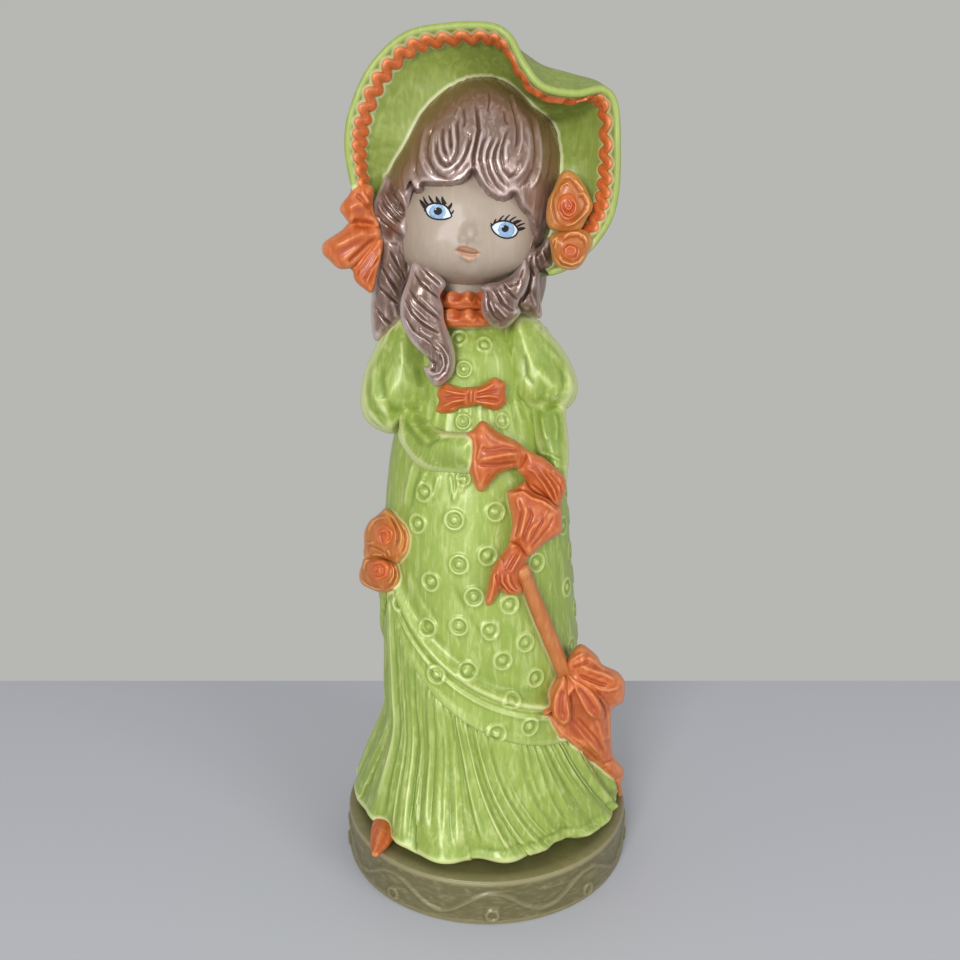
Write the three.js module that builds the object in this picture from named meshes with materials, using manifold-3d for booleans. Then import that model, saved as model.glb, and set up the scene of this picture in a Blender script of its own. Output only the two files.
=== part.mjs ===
// Ceramic figurine of a girl in a bonnet on a round plinth.
// Millimetres, +Z up, front towards -Y, origin at the middle of the plinth's underside.
// Right and left are the figure's own, so its right side lies towards -X.
import * as THREE from 'three';
import { mergeVertices } from 'three/addons/utils/BufferGeometryUtils.js';
import Module from 'manifold-3d';

const wasm = await Module();
wasm.setup();

// Joint between neighbouring pieces, and the cast wall
const seam = 0.3;
const wall = 5;

// Levels that the figure is fitted between
const plinthHeight = 19;
const waistHeight = 196;
const shoulderHeight = 223;

// The same levels in the tables of stations below, whose heights are stretched to the ones above
const patternLevels = [19, 196, 223];

// Plinth
const plinthRadius = 60;
const plinthEdge = 1.2;
const plinthMouth = 36;
const ventRadius = 4;
const ventOffset = 34;

// Dress: height, middle in X, half width, depth to the front and to the back
const dressStations = [
  [19, 0, 55, 45, 48],
  [24, 0, 57, 49, 51],
  [36, -0.5, 52, 47, 48],
  [60, -1, 42, 41, 40],
  [80, -2, 40.3, 39.5, 38],
  [100, -2.8, 39.6, 38, 36],
  [130, -4, 37.8, 35.5, 32],
  [160, -4.5, 35.3, 31.5, 28],
  [180, -5.5, 31, 27, 24],
  [196, -6, 25, 23, 20],
  [212, -7, 22.5, 21, 17],
  [223, -8, 16, 15, 13],
];
const skirtSteps = 96;
const pleatCount = 24;
const pleatDepth = 1.4;
const pleatFan = 0.35;
const hemTuck = 3;
const hitchAngle = 205;
const grooveLow = 62;
const grooveRise = 66.6;
const grooveSpread = 60.5;
const bandLow = 53;
const bandRise = 70;
const bandSpread = 48;
const bandRelief = 2.4;

// Rolled edge over the groove: how far up it, and how far it stands out
const rollProfile = [
  [0, -0.7],
  [3.6, 2.2],
  [8.4, -0.4],
  [13, 0],
];
const rollRadius = 39;

// Raised dots of the overskirt: degrees round the dress and height
const dotRadius = 4.3;
const dotTaper = 1.2;
const dotRise = 0.8;
const dotRoot = 2;
const dotSides = 6;
const frontDots = [
  [236.6, 163],
  [232.9, 150.8],
  [257.1, 153.9],
  [281.8, 157],
  [276.5, 140.8],
  [259.9, 137.4],
  [242.5, 129.6],
  [268, 125.3],
  [288.2, 121.4],
  [258.8, 113.6],
  [276.2, 112],
  [296.5, 105.6],
  [282.5, 99.7],
  [301.6, 90.5],
];

// The dots go on round the back in staggered rows
const dotRows = 6;
const dotLow = 96;
const dotStep = 12.5;
const dotTurn = 25;
const dotFrom = -25;
const dotTo = 185;
const dotClear = 15;

// Head and neck
const headCentre = new THREE.Vector3(-5.5, -8, 257);
const headRadii = new THREE.Vector3(25.5, 26.5, 27);
const neckCentre = new THREE.Vector3(-8.5, -7, 0);
const neckRadius = 8.5;
const frillRadius = 15;
const frillHeight = 5.8;
const frillScallops = 12;

// Hair
const hairCentre = new THREE.Vector3(-6.5, -4, 272);
const hairRadii = new THREE.Vector3(33.6, 33, 36);
const backHairCentre = new THREE.Vector3(-8, 12, 240);
const backHairRadii = new THREE.Vector3(28, 17, 28);
const ringletWidth = 13.5;
const ringletDepth = 11;

// Bonnet
const brimWall = 3.6;
const crownWall = 4;
const crownJoin = 6;
const crownCentre = new THREE.Vector3(-5, crownJoin, 272);
const crownRadii = new THREE.Vector3(36.5, 30, 38.5);
const crownOpening = 246;
const braidWaves = 20;
const braidPlace = 0.9;
const braidSwing = 0.03;
const braidWidth = 3.4;
const braidDepth = 1.3;
const braidStandoff = 0.55;
const braidStart = 17;
const braidEnd = 18;
// Angle at the crown, then the brim's middle and its lip
const brimStations = [
  [202, -40, -9, 258, -45, -24, 262],
  [185, -44, -10, 271, -47.5, -26, 274],
  [168, -44.5, -11, 282.5, -48.6, -28, 285],
  [150, -41.5, -11, 293.5, -46.5, -29, 296],
  [132, -34, -12, 305.5, -39.5, -30, 309.5],
  [115, -24.5, -12, 314, -28, -30, 319.5],
  [98, -12.5, -12, 317.5, -14, -30, 322.5],
  [83, 0, -12, 318, 1, -30, 322.5],
  [73, 7, -12, 317.5, 7.5, -31, 318.5],
  [64, 12.5, -13, 315, 12, -33, 310],
  [54, 19, -13, 311.5, 18, -34, 303],
  [45, 28, -13, 309, 28, -33, 301.3],
  [36, 36, -12, 306, 37.5, -31, 303],
  [26, 41.5, -12, 299, 42.6, -30, 298],
  [12, 43, -12, 285, 44.3, -29, 283],
  [-4, 42.5, -11, 270, 44.4, -28, 270],
  [-20, 40, -10, 259, 42.3, -27, 260],
  [-34, 33.5, -9, 249.5, 36.5, -26, 251],
  [-48, 25, -8, 243, 28.5, -25, 244.6],
];

// Parasol: the shaft's two ends and the canopy's stations of place, half width and half depth
const shaftRadius = 3;
const shaftTop = new THREE.Vector3(11.9, -36, 137.6);
const shaftFoot = new THREE.Vector3(31.5, -27, 85.8);
const tipRadius = 1.6;
const tipFoot = new THREE.Vector3(57.6, -3, patternLevels[0] + seam);
const canopyStations = [
  [31.5, -27, 87.6, 3, 3],
  [36.9, -25, 85.9, 9.2, 6.5],
  [39.9, -23, 77.2, 14.3, 8.5],
  [41.3, -21, 67.6, 15.4, 9],
  [41.7, -19.5, 60.4, 12.6, 8.5],
  [42.9, -17.5, 52.2, 9.5, 8],
  [46.7, -14.5, 45.1, 7, 7],
  [51, -11, 39, 5, 5.5],
  [54.5, -7, 32, 3.5, 4],
  [56, -5, 28.5, 2, 2],
];

// Colours
const paint = {
  lime: [0xaacd5a, 0.35],
  bonnetLime: [0xa0c850, 0.35],
  orange: [0xd75a28, 0.38],
  roseOrange: [0xe68c32, 0.4],
  budOrange: [0xdc5a32, 0.4],
  hair: [0x8c6e64, 0.3],
  skin: [0xc8b9a5, 0.25],
  ochre: [0xd17928, 0.4],
  olive: [0x736e4b, 0.45],
};

function point(x, y, z) {
  return new THREE.Vector3(x, y, z);
}

function lerp(a, b, t) {
  return a + (b - a) * t;
}

// Height on the figure of a height in the tables of stations
function levelled(height) {
  const [foot, waist, shoulder] = patternLevels;
  if (height > shoulder) return height - shoulder + shoulderHeight;
  if (height > waist) return lerp(waistHeight, shoulderHeight, (height - waist) / (shoulder - waist));
  return lerp(plinthHeight, waistHeight, (height - foot) / (waist - foot));
}

// Stations with the height in one column levelled
function levelledRows(stations, column) {
  return stations.map((row) => row.map((value, i) => (i === column ? levelled(value) : value)));
}

// Smooth values between stations whose first number is the position along them
function between(stations, at) {
  const rising = stations[1][0] > stations[0][0];
  const order = rising ? stations : [...stations].reverse();
  const last = order.length - 1;
  const clamped = Math.min(Math.max(at, order[0][0]), order[last][0]);
  let k = 0;
  while (k < last - 1 && clamped > order[k + 1][0]) k += 1;
  const span = order[k + 1][0] - order[k][0];
  const t = (clamped - order[k][0]) / span;
  const slope = (i, c) => {
    const a = Math.max(i - 1, 0);
    const b = Math.min(i + 1, last);
    return (order[b][c] - order[a][c]) / (order[b][0] - order[a][0]);
  };
  return order[0].slice(1).map((_, n) => {
    const c = n + 1;
    const h = t * t * (3 - 2 * t);
    const rise = t * (1 - t) * (1 - t) * span * slope(k, c);
    const fall = t * t * (t - 1) * span * slope(k + 1, c);
    return lerp(order[k][c], order[k + 1][c], h) + rise + fall;
  });
}

function positions(points) {
  return new THREE.Float32BufferAttribute(points.flatMap((p) => p.toArray()), 3);
}

// Indexed body from points and triangles, turned so that its faces point out
function body(points, faces) {
  const raw = new THREE.BufferGeometry();
  raw.setAttribute('position', positions(points));
  raw.setIndex(faces.flat());
  const merged = mergeVertices(raw, 1e-3);
  const index = merged.index.array;
  const kept = [];
  for (let i = 0; i < index.length; i += 3) {
    const [a, b, c] = [index[i], index[i + 1], index[i + 2]];
    if (a !== b && b !== c && c !== a) kept.push(a, b, c);
  }
  merged.setIndex(kept);
  return volume(merged) < 0 ? flipped(merged) : merged;
}

function corner(geometry, i) {
  return new THREE.Vector3().fromBufferAttribute(geometry.attributes.position, geometry.index.getX(i));
}

function volume(geometry) {
  let sum = 0;
  for (let i = 0; i < geometry.index.count; i += 3) {
    sum += corner(geometry, i).dot(corner(geometry, i + 1).cross(corner(geometry, i + 2))) / 6;
  }
  return sum;
}

function flipped(geometry) {
  const index = Array.from(geometry.index.array);
  for (let i = 0; i < index.length; i += 3) [index[i + 1], index[i + 2]] = [index[i + 2], index[i + 1]];
  geometry.setIndex(index);
  return geometry;
}

// Side faces between rows of points; each row is a ring
function ringFaces(rowCount, ringSize, closed) {
  const faces = [];
  const strips = closed ? rowCount : rowCount - 1;
  for (let r = 0; r < strips; r += 1) {
    for (let i = 0; i < ringSize; i += 1) {
      const a = r * ringSize + i;
      const b = r * ringSize + ((i + 1) % ringSize);
      const c = ((r + 1) % rowCount) * ringSize + i;
      const d = ((r + 1) % rowCount) * ringSize + ((i + 1) % ringSize);
      faces.push([a, b, d], [a, d, c]);
    }
  }
  return faces;
}

// Solid of stacked rings with a fan over each end
function loft(rows) {
  const size = rows[0].length;
  const points = rows.flat();
  const faces = ringFaces(rows.length, size, false);
  for (const [row, turn] of [[0, true], [rows.length - 1, false]]) {
    const middle = rows[row].reduce((sum, p) => sum.add(p), point(0, 0, 0)).divideScalar(size);
    const hub = points.push(middle) - 1;
    for (let i = 0; i < size; i += 1) {
      const a = row * size + i;
      const b = row * size + ((i + 1) % size);
      faces.push(turn ? [b, a, hub] : [a, b, hub]);
    }
  }
  return body(points, faces);
}

// Tubular wall: rings up the outside and down the inside
function shell(rows) {
  return body(rows.flat(), ringFaces(rows.length, rows[0].length, true));
}

// Ring of points at angles round a middle
function ring(count, place) {
  return Array.from({ length: count }, (_, i) => place((i / count) * 2 * Math.PI, i));
}

// Ellipsoid whose radius is shaped by a function of direction
function blob({ at, radii, around = 16, up = 10, shape = () => 1 }) {
  const middle = point(at.x, at.y, levelled(at.z));
  const sphere = new THREE.SphereGeometry(1, around, up).rotateX(Math.PI / 2);
  const place = sphere.attributes.position;
  const points = [];
  for (let i = 0; i < place.count; i += 1) {
    const way = new THREE.Vector3().fromBufferAttribute(place, i);
    const reach = shape(way);
    const p = way.clone().multiply(radii).multiplyScalar(reach);
    points.push(p.add(middle));
  }
  const index = Array.from(sphere.index.array);
  const faces = [];
  for (let i = 0; i < index.length; i += 3) faces.push(index.slice(i, i + 3));
  return body(points, faces);
}

// Tube through places with a half width and a half depth at each; depth lies along the front
function limb(stations, { sides = 10, steps = 8, front = point(0, -1, 0), ripple = () => 1 } = {}) {
  const curve = new THREE.CatmullRomCurve3(stations.map(([x, y, z]) => point(x, y, levelled(z))));
  const sizes = stations.map(([, , , width, depth], i) => [i / (stations.length - 1), width, depth]);
  const rows = Array.from({ length: steps + 1 }, (_, s) => {
    const t = s / steps;
    const way = curve.getTangent(t);
    const depthWay = front.clone().addScaledVector(way, -front.dot(way)).normalize();
    const widthWay = way.clone().cross(depthWay);
    const [width, depth] = between(sizes, t);
    return ring(sides, (angle) => {
      const swell = ripple(angle, t);
      return curve.getPoint(t)
        .addScaledVector(widthWay, Math.cos(angle) * width * swell)
        .addScaledVector(depthWay, Math.sin(angle) * depth * swell);
    });
  });
  return loft(rows);
}

function solid(geometry) {
  return new wasm.Manifold(new wasm.Mesh({
    numProp: 3,
    vertProperties: Float32Array.from(geometry.attributes.position.array),
    triVerts: Uint32Array.from(geometry.index.array),
  }));
}

function geometryOf(manifold) {
  const mesh = manifold.getMesh();
  const geometry = new THREE.BufferGeometry();
  geometry.setAttribute('position', new THREE.BufferAttribute(mesh.vertProperties, 3));
  geometry.setIndex(new THREE.BufferAttribute(mesh.triVerts, 1));
  return geometry;
}

// Body whose faces are moved out by a distance, so that a cut by it leaves a joint
function grown(geometry, distance = seam) {
  const place = geometry.attributes.position;
  const normals = Array.from({ length: place.count }, () => []);
  for (let i = 0; i < geometry.index.count; i += 3) {
    const [a, b, c] = [corner(geometry, i), corner(geometry, i + 1), corner(geometry, i + 2)];
    const normal = b.clone().sub(a).cross(c.clone().sub(a)).normalize();
    const turns = [[b, c, a], [c, a, b], [a, b, c]]
      .map(([p, q, r]) => p.clone().sub(r).angleTo(q.clone().sub(r)));
    turns.forEach((turn, k) => normals[geometry.index.getX(i + k)].push([normal, turn]));
  }
  const points = normals.map((around, i) => {
    const way = around.reduce((sum, [n, w]) => sum.addScaledVector(n, w), point(0, 0, 0)).normalize();
    const lean = Math.max(Math.min(...around.map(([n]) => n.dot(way))), 0.4);
    return new THREE.Vector3().fromBufferAttribute(place, i).addScaledVector(way, distance / lean);
  });
  const moved = geometry.clone();
  moved.setAttribute('position', positions(points));
  return moved;
}

// The largest body that is left of a piece when its neighbours and their joints are cut out of it
function carve(geometry, ...neighbours) {
  const rest = neighbours.reduce((left, next) => left.subtract(solid(grown(next))), solid(geometry));
  const bodies = rest.decompose().sort((a, b) => b.volume() - a.volume());
  return geometryOf(bodies[0]);
}

function joined(...geometries) {
  return geometryOf(geometries.slice(1).reduce((sum, next) => sum.add(solid(next)), solid(geometries[0])));
}

function box(low, high) {
  const size = high.clone().sub(low);
  const middle = low.clone().add(high).divideScalar(2);
  return mergeVertices(withPositionOnly(new THREE.BoxGeometry(size.x, size.y, size.z)
    .translate(middle.x, middle.y, middle.z)));
}

function withPositionOnly(geometry) {
  geometry.deleteAttribute('normal');
  geometry.deleteAttribute('uv');
  return geometry;
}

// Plinth: a cast disc with a cavity that opens up into the skirt and a vent in its floor
function makePlinth() {
  const profile = [
    [0, 0],
    [plinthRadius - plinthEdge, 0],
    [plinthRadius, plinthEdge],
    [plinthRadius, plinthHeight - plinthEdge],
    [plinthRadius - plinthEdge, plinthHeight],
    [plinthMouth, plinthHeight],
    [plinthMouth, plinthHeight - wall],
    [plinthRadius - wall, plinthHeight - wall],
    [plinthRadius - wall, wall],
    [0, wall],
  ].map(([x, y]) => new THREE.Vector2(x, y));
  const disc = new THREE.LatheGeometry(profile, 44).rotateX(Math.PI / 2);
  const vent = new THREE.CylinderGeometry(ventRadius, ventRadius, 3 * wall, 20)
    .rotateX(Math.PI / 2)
    .translate(0, ventOffset, 0);
  const [a, b] = [disc, vent].map((g) => {
    const merged = mergeVertices(withPositionOnly(g), 1e-3);
    return body(pointsOf(merged), facesOf(merged));
  });
  return geometryOf(solid(a).subtract(solid(b)));
}

function pointsOf(geometry) {
  const place = geometry.attributes.position;
  return Array.from({ length: place.count }, (_, i) => new THREE.Vector3().fromBufferAttribute(place, i));
}

function facesOf(geometry) {
  const index = Array.from(geometry.index.array);
  return Array.from({ length: index.length / 3 }, (_, i) => index.slice(3 * i, 3 * i + 3));
}

const dressShape = levelledRows(dressStations, 0);

// Point on the dress at an angle and a height, moved out by a distance
function dressPoint(angle, height, out = 0) {
  const [middle, half, front, back] = between(dressShape, height);
  const depth = Math.sin(angle) < 0 ? front : back;
  return point(middle + (half + out) * Math.cos(angle), (depth + out) * Math.sin(angle), height);
}

// Degrees round the dress from the gather under the hip roses
function fromHitch(angle) {
  return Math.abs((((angle * 180) / Math.PI - hitchAngle + 540) % 360) - 180);
}

function grooveAt(angle) {
  return levelled(grooveLow + grooveRise * Math.exp(-fromHitch(angle) / grooveSpread));
}

function bandAt(angle) {
  return levelled(bandLow + bandRise * Math.exp(-fromHitch(angle) / bandSpread));
}

function dressRow(place) {
  return ring(skirtSteps, place);
}

const hemHeight = plinthHeight + seam;

// Angle of a pleat lower down, from its angle at the band: the pleats fan out from the gather
function fanned(angle, t) {
  const turn = angle - (hitchAngle * Math.PI) / 180;
  const side = Math.atan2(Math.sin(turn), Math.cos(turn));
  return angle + side * pleatFan * (1 - t) * (0.5 + 0.5 * Math.cos(side));
}

function underskirtRow(t, out) {
  return dressRow((angle) => {
    const top = bandAt(angle) - seam / 2;
    return dressPoint(fanned(angle, t), lerp(hemHeight, top, t), out(angle));
  });
}

function underskirtRows() {
  return [0, 0.09, 0.3, 0.6, 1].map((t) => {
    const tuck = t === 0 ? -hemTuck : 0;
    return underskirtRow(t, (angle) => pleatDepth * Math.cos(pleatCount * angle) * lerp(1, 0.5, t) + tuck);
  });
}

function bandRows() {
  return [0, 0.5, 1].map((t) => dressRow((angle) => {
    const height = lerp(bandAt(angle) + seam / 2, grooveAt(angle) - seam / 2, t);
    return dressPoint(angle, height, bandRelief * (t === 0.5 ? 1 : 0.5));
  }));
}

// How much longer the way up from the groove is where the groove runs steeply
function steepness(angle) {
  const slope = (grooveRise / grooveSpread) * Math.exp(-fromHitch(angle) / grooveSpread);
  return Math.hypot(1, (slope * 180) / Math.PI / rollRadius);
}

function overskirtRows() {
  const low = (angle) => grooveAt(angle) + seam / 2;
  const roll = rollProfile.map(([up, out]) => dressRow((angle) => (
    dressPoint(angle, low(angle) + up * steepness(angle), out)
  )));
  const plain = [0.6, 1].map((t) => dressRow((angle) => (
    dressPoint(angle, lerp(low(angle), waistHeight - seam / 2, t))
  )));
  return [...roll, ...plain];
}

function innerRows(low, high, parts = [1, 0]) {
  return parts.map((t) => dressRow((angle) => dressPoint(angle, lerp(low(angle), high(angle), t), -wall)));
}

function bodiceRows() {
  return [waistHeight + seam / 2, levelled(206), levelled(216), shoulderHeight].map((height) => (
    ring(skirtSteps / 2, (angle) => dressPoint(angle, height))
  ));
}

function bodiceInnerRows() {
  const inside = [
    [shoulderHeight, -10],
    [shoulderHeight - wall, -9],
    [waistHeight + seam / 2, -wall],
  ];
  return inside.map(([height, out]) => ring(skirtSteps / 2, (angle) => dressPoint(angle, height, out)));
}

const underskirt = shell([
  ...underskirtRows(),
  ...[1, 0.6, 0.3, 0].map((t) => underskirtRow(t, () => -wall)),
]);
const hemBand = shell([
  ...bandRows(),
  ...innerRows((angle) => bandAt(angle) + seam / 2, (angle) => grooveAt(angle) - seam / 2),
].reverse());
const overskirt = shell([
  ...overskirtRows(),
  ...innerRows((angle) => grooveAt(angle) + seam / 2, () => waistHeight - seam / 2, [1, 0.5, 0]),
]);
const bodice = shell([...bodiceRows(), ...bodiceInnerRows()]);

function backDots() {
  const rows = Array.from({ length: dotRows }, (_, row) => {
    const first = dotFrom + ((row % 2) * dotTurn) / 2;
    const count = Math.ceil((dotTo - first) / dotTurn);
    return Array.from({ length: count }, (__, i) => [first + i * dotTurn, dotLow + row * dotStep]);
  });
  const degree = Math.PI / 180;
  return rows.flat().filter(([turn, height]) => levelled(height) > grooveAt(turn * degree) + dotClear);
}

// Low round stud that stands out of the dress
function dot([turn, height]) {
  const angle = (turn * Math.PI) / 180;
  const level = levelled(height);
  const round = dressPoint(angle + 0.02, level).sub(dressPoint(angle - 0.02, level)).normalize();
  const up = dressPoint(angle, level + 1).sub(dressPoint(angle, level - 1)).normalize();
  const out = round.clone().cross(up);
  const layers = [[-dotRoot, dotRadius], [dotRise, dotRadius - dotTaper]];
  return loft(layers.map(([off, radius]) => ring(dotSides, (a) => dressPoint(angle, level)
    .addScaledVector(out, off)
    .addScaledVector(round, Math.cos(a) * radius)
    .addScaledVector(up, Math.sin(a) * radius))));
}

const dottedOverskirt = joined(overskirt, ...[...frontDots, ...backDots()].map(dot));

// Filled outlines that neighbouring pieces are cut to
const skirtFill = loft([...underskirtRows(), ...bandRows(), ...overskirtRows()]);
const bodiceFill = loft(bodiceRows());

const shoeToe = limb([
  [-41.5, -22, 23, 5, 3.7],
  [-43, -34, 22.6, 4.6, 3.3],
  [-44, -41, 21.6, 3, 2.3],
  [-44.6, -46, 20.6, 0.8, 0.9],
], { front: point(0, 0, 1), steps: 6 });

// Puff sleeves, fuller low down
function sleeve(at, radii) {
  return blob({ at, radii, around: 12, up: 8, shape: (way) => 1 - 0.07 * way.z });
}

const rightSleeve = sleeve(point(-33, -5, 202), point(15.5, 14.5, 18.5));
const leftSleeve = sleeve(point(19.5, -4, 205), point(15.5, 14, 17.5));

const rightForearm = limb([
  [-33, -12, 193, 7, 7],
  [-30.5, -21, 183, 7.2, 7],
  [-20.4, -29, 178.9, 6.5, 6.2],
  [-9.2, -32.5, 179.2, 5.6, 5.4],
  [-0.5, -32.5, 179.6, 4.6, 4.6],
], { sides: 10, steps: 7 });
const leftForearm = limb([
  [21, -10, 197, 7, 7],
  [26, -17, 182.4, 7, 6.5],
  [22.8, -22, 171.1, 6, 6],
  [17.5, -28, 159.4, 5, 5],
], { sides: 10, steps: 6 });

// Gauntlets flare in soft folds from the wrist
function folds(count, depth) {
  return (angle, t) => 1 + depth * (1 - t) * Math.cos(count * angle);
}

const rightGauntlet = limb([
  [-5.6, -34.5, 179.6, 12.7, 8],
  [-1, -34, 179.6, 9.7, 7],
  [5.3, -32, 179.6, 6.4, 5.4],
  [11.4, -30.5, 179.7, 4.4, 4.2],
], { sides: 12, steps: 5, ripple: folds(4, 0.1) });
const leftGauntlet = limb([
  [16.6, -31, 163.3, 10, 6.8],
  [16.4, -32, 156.7, 9, 6.4],
  [14.5, -33.5, 149.6, 6.6, 5.4],
  [11.9, -35, 144.1, 4.3, 4.2],
], { sides: 12, steps: 5, ripple: folds(4, 0.08) });

// Hands: a palm with fingers laid side by side
function finger(stations) {
  return limb(stations, { sides: 6, steps: 3 });
}

const rightHand = joined(
  limb([
    [9.9, -30.5, 179.2, 4.4, 4.2],
    [14.5, -30, 176.3, 5.5, 4.2],
    [20.8, -29, 170.5, 7, 4.2],
    [24.5, -27.5, 165.1, 5.1, 3.6],
  ], { sides: 8, steps: 5 }),
  ...[0, 1, 2, 3].map((n) => finger([
    [17.1 + 2.8 * n, -31.8 + 0.5 * n, 171.3 + 1.5 * n, 1.9, 2],
    [20.1 + 2.3 * n, -32.2 + 0.6 * n, 165.9 + 1.6 * n, 1.9, 2],
    [22.3 + 1.6 * n, -31 + 0.7 * n, 160.3 + 1.3 * n, 1.5, 1.7],
  ])),
);
const leftHand = joined(
  limb([
    [12.4, -35, 146.2, 4.2, 4.2],
    [9.8, -36.5, 141.2, 5.3, 4.4],
    [7.5, -37.7, 134.3, 6.1, 4.6],
    [8.9, -37.7, 128.2, 4.7, 3.8],
  ], { sides: 8, steps: 5 }),
  finger([
    [3.6, -38, 136.8, 2.2, 2.3],
    [1.7, -38.6, 129.7, 1.9, 2],
    [0.4, -38.3, 123.6, 1.2, 1.4],
  ]),
  ...[0, 1, 2].map((n) => finger([
    [5.4 + 2 * n, -39.8, 135.3 + 0.6 * n, 1.7, 1.8],
    [6.5 + 2.2 * n, -40.6, 129.9 + 0.4 * n, 1.7, 1.8],
    [8.3 + 2.2 * n, -39, 126.7 + 0.5 * n, 1.4, 1.6],
  ])),
);

// Parasol
const parasolShaft = limb([
  [...shaftTop.toArray(), shaftRadius, shaftRadius],
  [...shaftFoot.toArray(), shaftRadius, shaftRadius],
], { sides: 10, steps: 1 });
const parasolCanopy = limb(canopyStations, {
  sides: 14,
  steps: 10,
  ripple: (angle) => 1 + 0.06 * Math.cos(5 * angle),
});
const parasolTip = limb([
  [54.2, -7.2, 33, tipRadius, tipRadius],
  [tipFoot.x, tipFoot.y, tipFoot.z, tipRadius, tipRadius],
], { sides: 10, steps: 1 });

function ribbonLoop(stations) {
  return limb(stations, { sides: 8, steps: 6 });
}

const ribbonLeftLoop = ribbonLoop([
  [31.2, -30.5, 84.2, 1.6, 1.4],
  [30.2, -30.6, 77.2, 3.9, 2.2],
  [29.9, -29.6, 70.2, 4.7, 2.4],
  [29.9, -28, 64, 1.6, 1.2],
]);
const ribbonRightLoop = ribbonLoop([
  [33.4, -30.6, 83.8, 1.6, 1.4],
  [38.4, -31.4, 78.2, 4.1, 2.2],
  [42.8, -30.2, 72.4, 5.1, 2.4],
  [46.2, -27.8, 67.6, 1.8, 1.2],
]);

// Head and neck in one casting
const neck = loft([shoulderHeight + seam, levelled(headCentre.z) - headRadii.z / 2].map((height) => (
  ring(20, (angle) => point(
    neckCentre.x + neckRadius * Math.cos(angle),
    neckCentre.y + neckRadius * Math.sin(angle),
    height,
  ))
)));
const skull = blob({ at: headCentre, radii: headRadii, around: 16, up: 11 });
const head = joined(skull, neck);

function frill(low, radius) {
  const rows = [
    [low, radius - 1.5],
    [low + frillHeight * 0.6, radius],
    [low + frillHeight, radius - 1],
    [low + frillHeight, neckRadius + seam],
    [low, neckRadius + seam],
  ];
  return shell(rows.map(([height, reach], r) => ring(3 * frillScallops, (angle) => {
    const wave = r < 3 ? 0.8 * Math.cos(frillScallops * angle) : 0;
    return point(
      neckCentre.x + (reach + wave) * Math.cos(angle),
      neckCentre.y + (reach + wave) * Math.sin(angle),
      height,
    );
  })));
}

const lowerFrill = frill(shoulderHeight + seam, frillRadius);
const upperFrill = frill(shoulderHeight + frillHeight + 2 * seam, frillRadius - 1.5);

// Hair
const hairMass = blob({ at: hairCentre, radii: hairRadii, around: 16, up: 11 });
const faceWindow = blob({ at: point(headCentre.x, -42, 250), radii: point(24, 28, 22), around: 14, up: 8 });
const sideLock = limb([
  [-32, -12, 277, 6, 7],
  [-34.3, -15, 268, 6.6, 6.5],
  [-34.2, -15, 258, 7, 6.5],
  [-34, -13, 250, 6, 5],
], { sides: 12 });

function ringlet(stations, width = ringletWidth / 2, depth = ringletDepth / 2) {
  const sized = stations.map(([x, y, z, share]) => [x, y, z, width * share, depth * share]);
  return limb(sized, { sides: 10, steps: 8 });
}

const rightFrontRinglet = ringlet([
  [-21.5, -25, 248, 0.75],
  [-24, -27.5, 236, 1],
  [-22.3, -27, 225, 1.2],
  [-18.2, -26, 213.5, 0.9],
  [-17.8, -25.5, 203.5, 0.5],
]);
const rightBackRinglet = ringlet([
  [-34, -11, 254, 0.8],
  [-35.3, -10, 243, 1],
  [-35.4, -9, 230, 1],
  [-38, -8, 221, 0.75],
  [-40, -7, 215, 0.35],
]);
const leftFrontRinglet = ringlet([
  [4, -24, 245, 0.8],
  [4.9, -26, 238, 1],
  [5.5, -25, 230.6, 0.95],
  [5.5, -22.5, 223.8, 0.4],
]);
const leftBackRinglet = ringlet([
  [13.6, -15, 260, 0.7],
  [14, -15, 249, 0.85],
  [12.6, -14, 236, 0.9],
  [12, -13, 224, 0.6],
]);
const backHair = blob({ at: backHairCentre, radii: backHairRadii, around: 12, up: 8 });

// Bonnet crown: half an ellipsoid shell behind the brim, open below for the hair
const crownInnerRadii = crownRadii.clone().subScalar(crownWall);
const crownOuter = blob({ at: crownCentre, radii: crownRadii, around: 18, up: 11 });
const crownInner = blob({ at: crownCentre, radii: crownInnerRadii, around: 18, up: 11 });
const crownMiddle = levelled(crownCentre.z);
const crownReach = 2 * Math.max(crownRadii.x, crownRadii.y, crownRadii.z);
const frontHalf = box(
  point(-crownReach, -crownReach, crownMiddle - crownReach),
  point(crownReach, crownJoin + seam / 2, crownMiddle + crownReach),
);
const crownMouth = box(
  point(-crownReach, crownJoin - 1, crownMiddle - crownReach),
  point(crownReach, crownReach, levelled(crownOpening)),
);
const bonnetCrown = geometryOf(solid(crownOuter)
  .subtract(solid(crownInner))
  .subtract(solid(frontHalf))
  .subtract(solid(crownMouth)));

const brimShape = levelledRows(levelledRows(brimStations, 3), 6);

// Point of the brim at an angle round the crown and a share of the way out to the lip
function brimPoint(angle, t) {
  const [mx, my, mz, lx, ly, lz] = between(brimShape, angle);
  const turn = (angle * Math.PI) / 180;
  const root = point(
    crownCentre.x + crownRadii.x * Math.cos(turn),
    crownJoin - seam / 2,
    crownMiddle + crownRadii.z * Math.sin(turn),
  );
  const path = new THREE.CatmullRomCurve3([root, point(mx, my, mz), point(lx, ly, lz)]);
  return path.getPoint(t);
}

// Way from the outside of the brim to its inside
function brimInward(angle, t) {
  const h = 0.01;
  const along = brimPoint(angle - 1, t).sub(brimPoint(angle + 1, t));
  const out = brimPoint(angle, Math.min(t + h, 1)).sub(brimPoint(angle, Math.max(t - h, 0)));
  return along.cross(out).normalize();
}

const brimFirst = brimStations[0][0];
const brimLast = brimStations[brimStations.length - 1][0];

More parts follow.
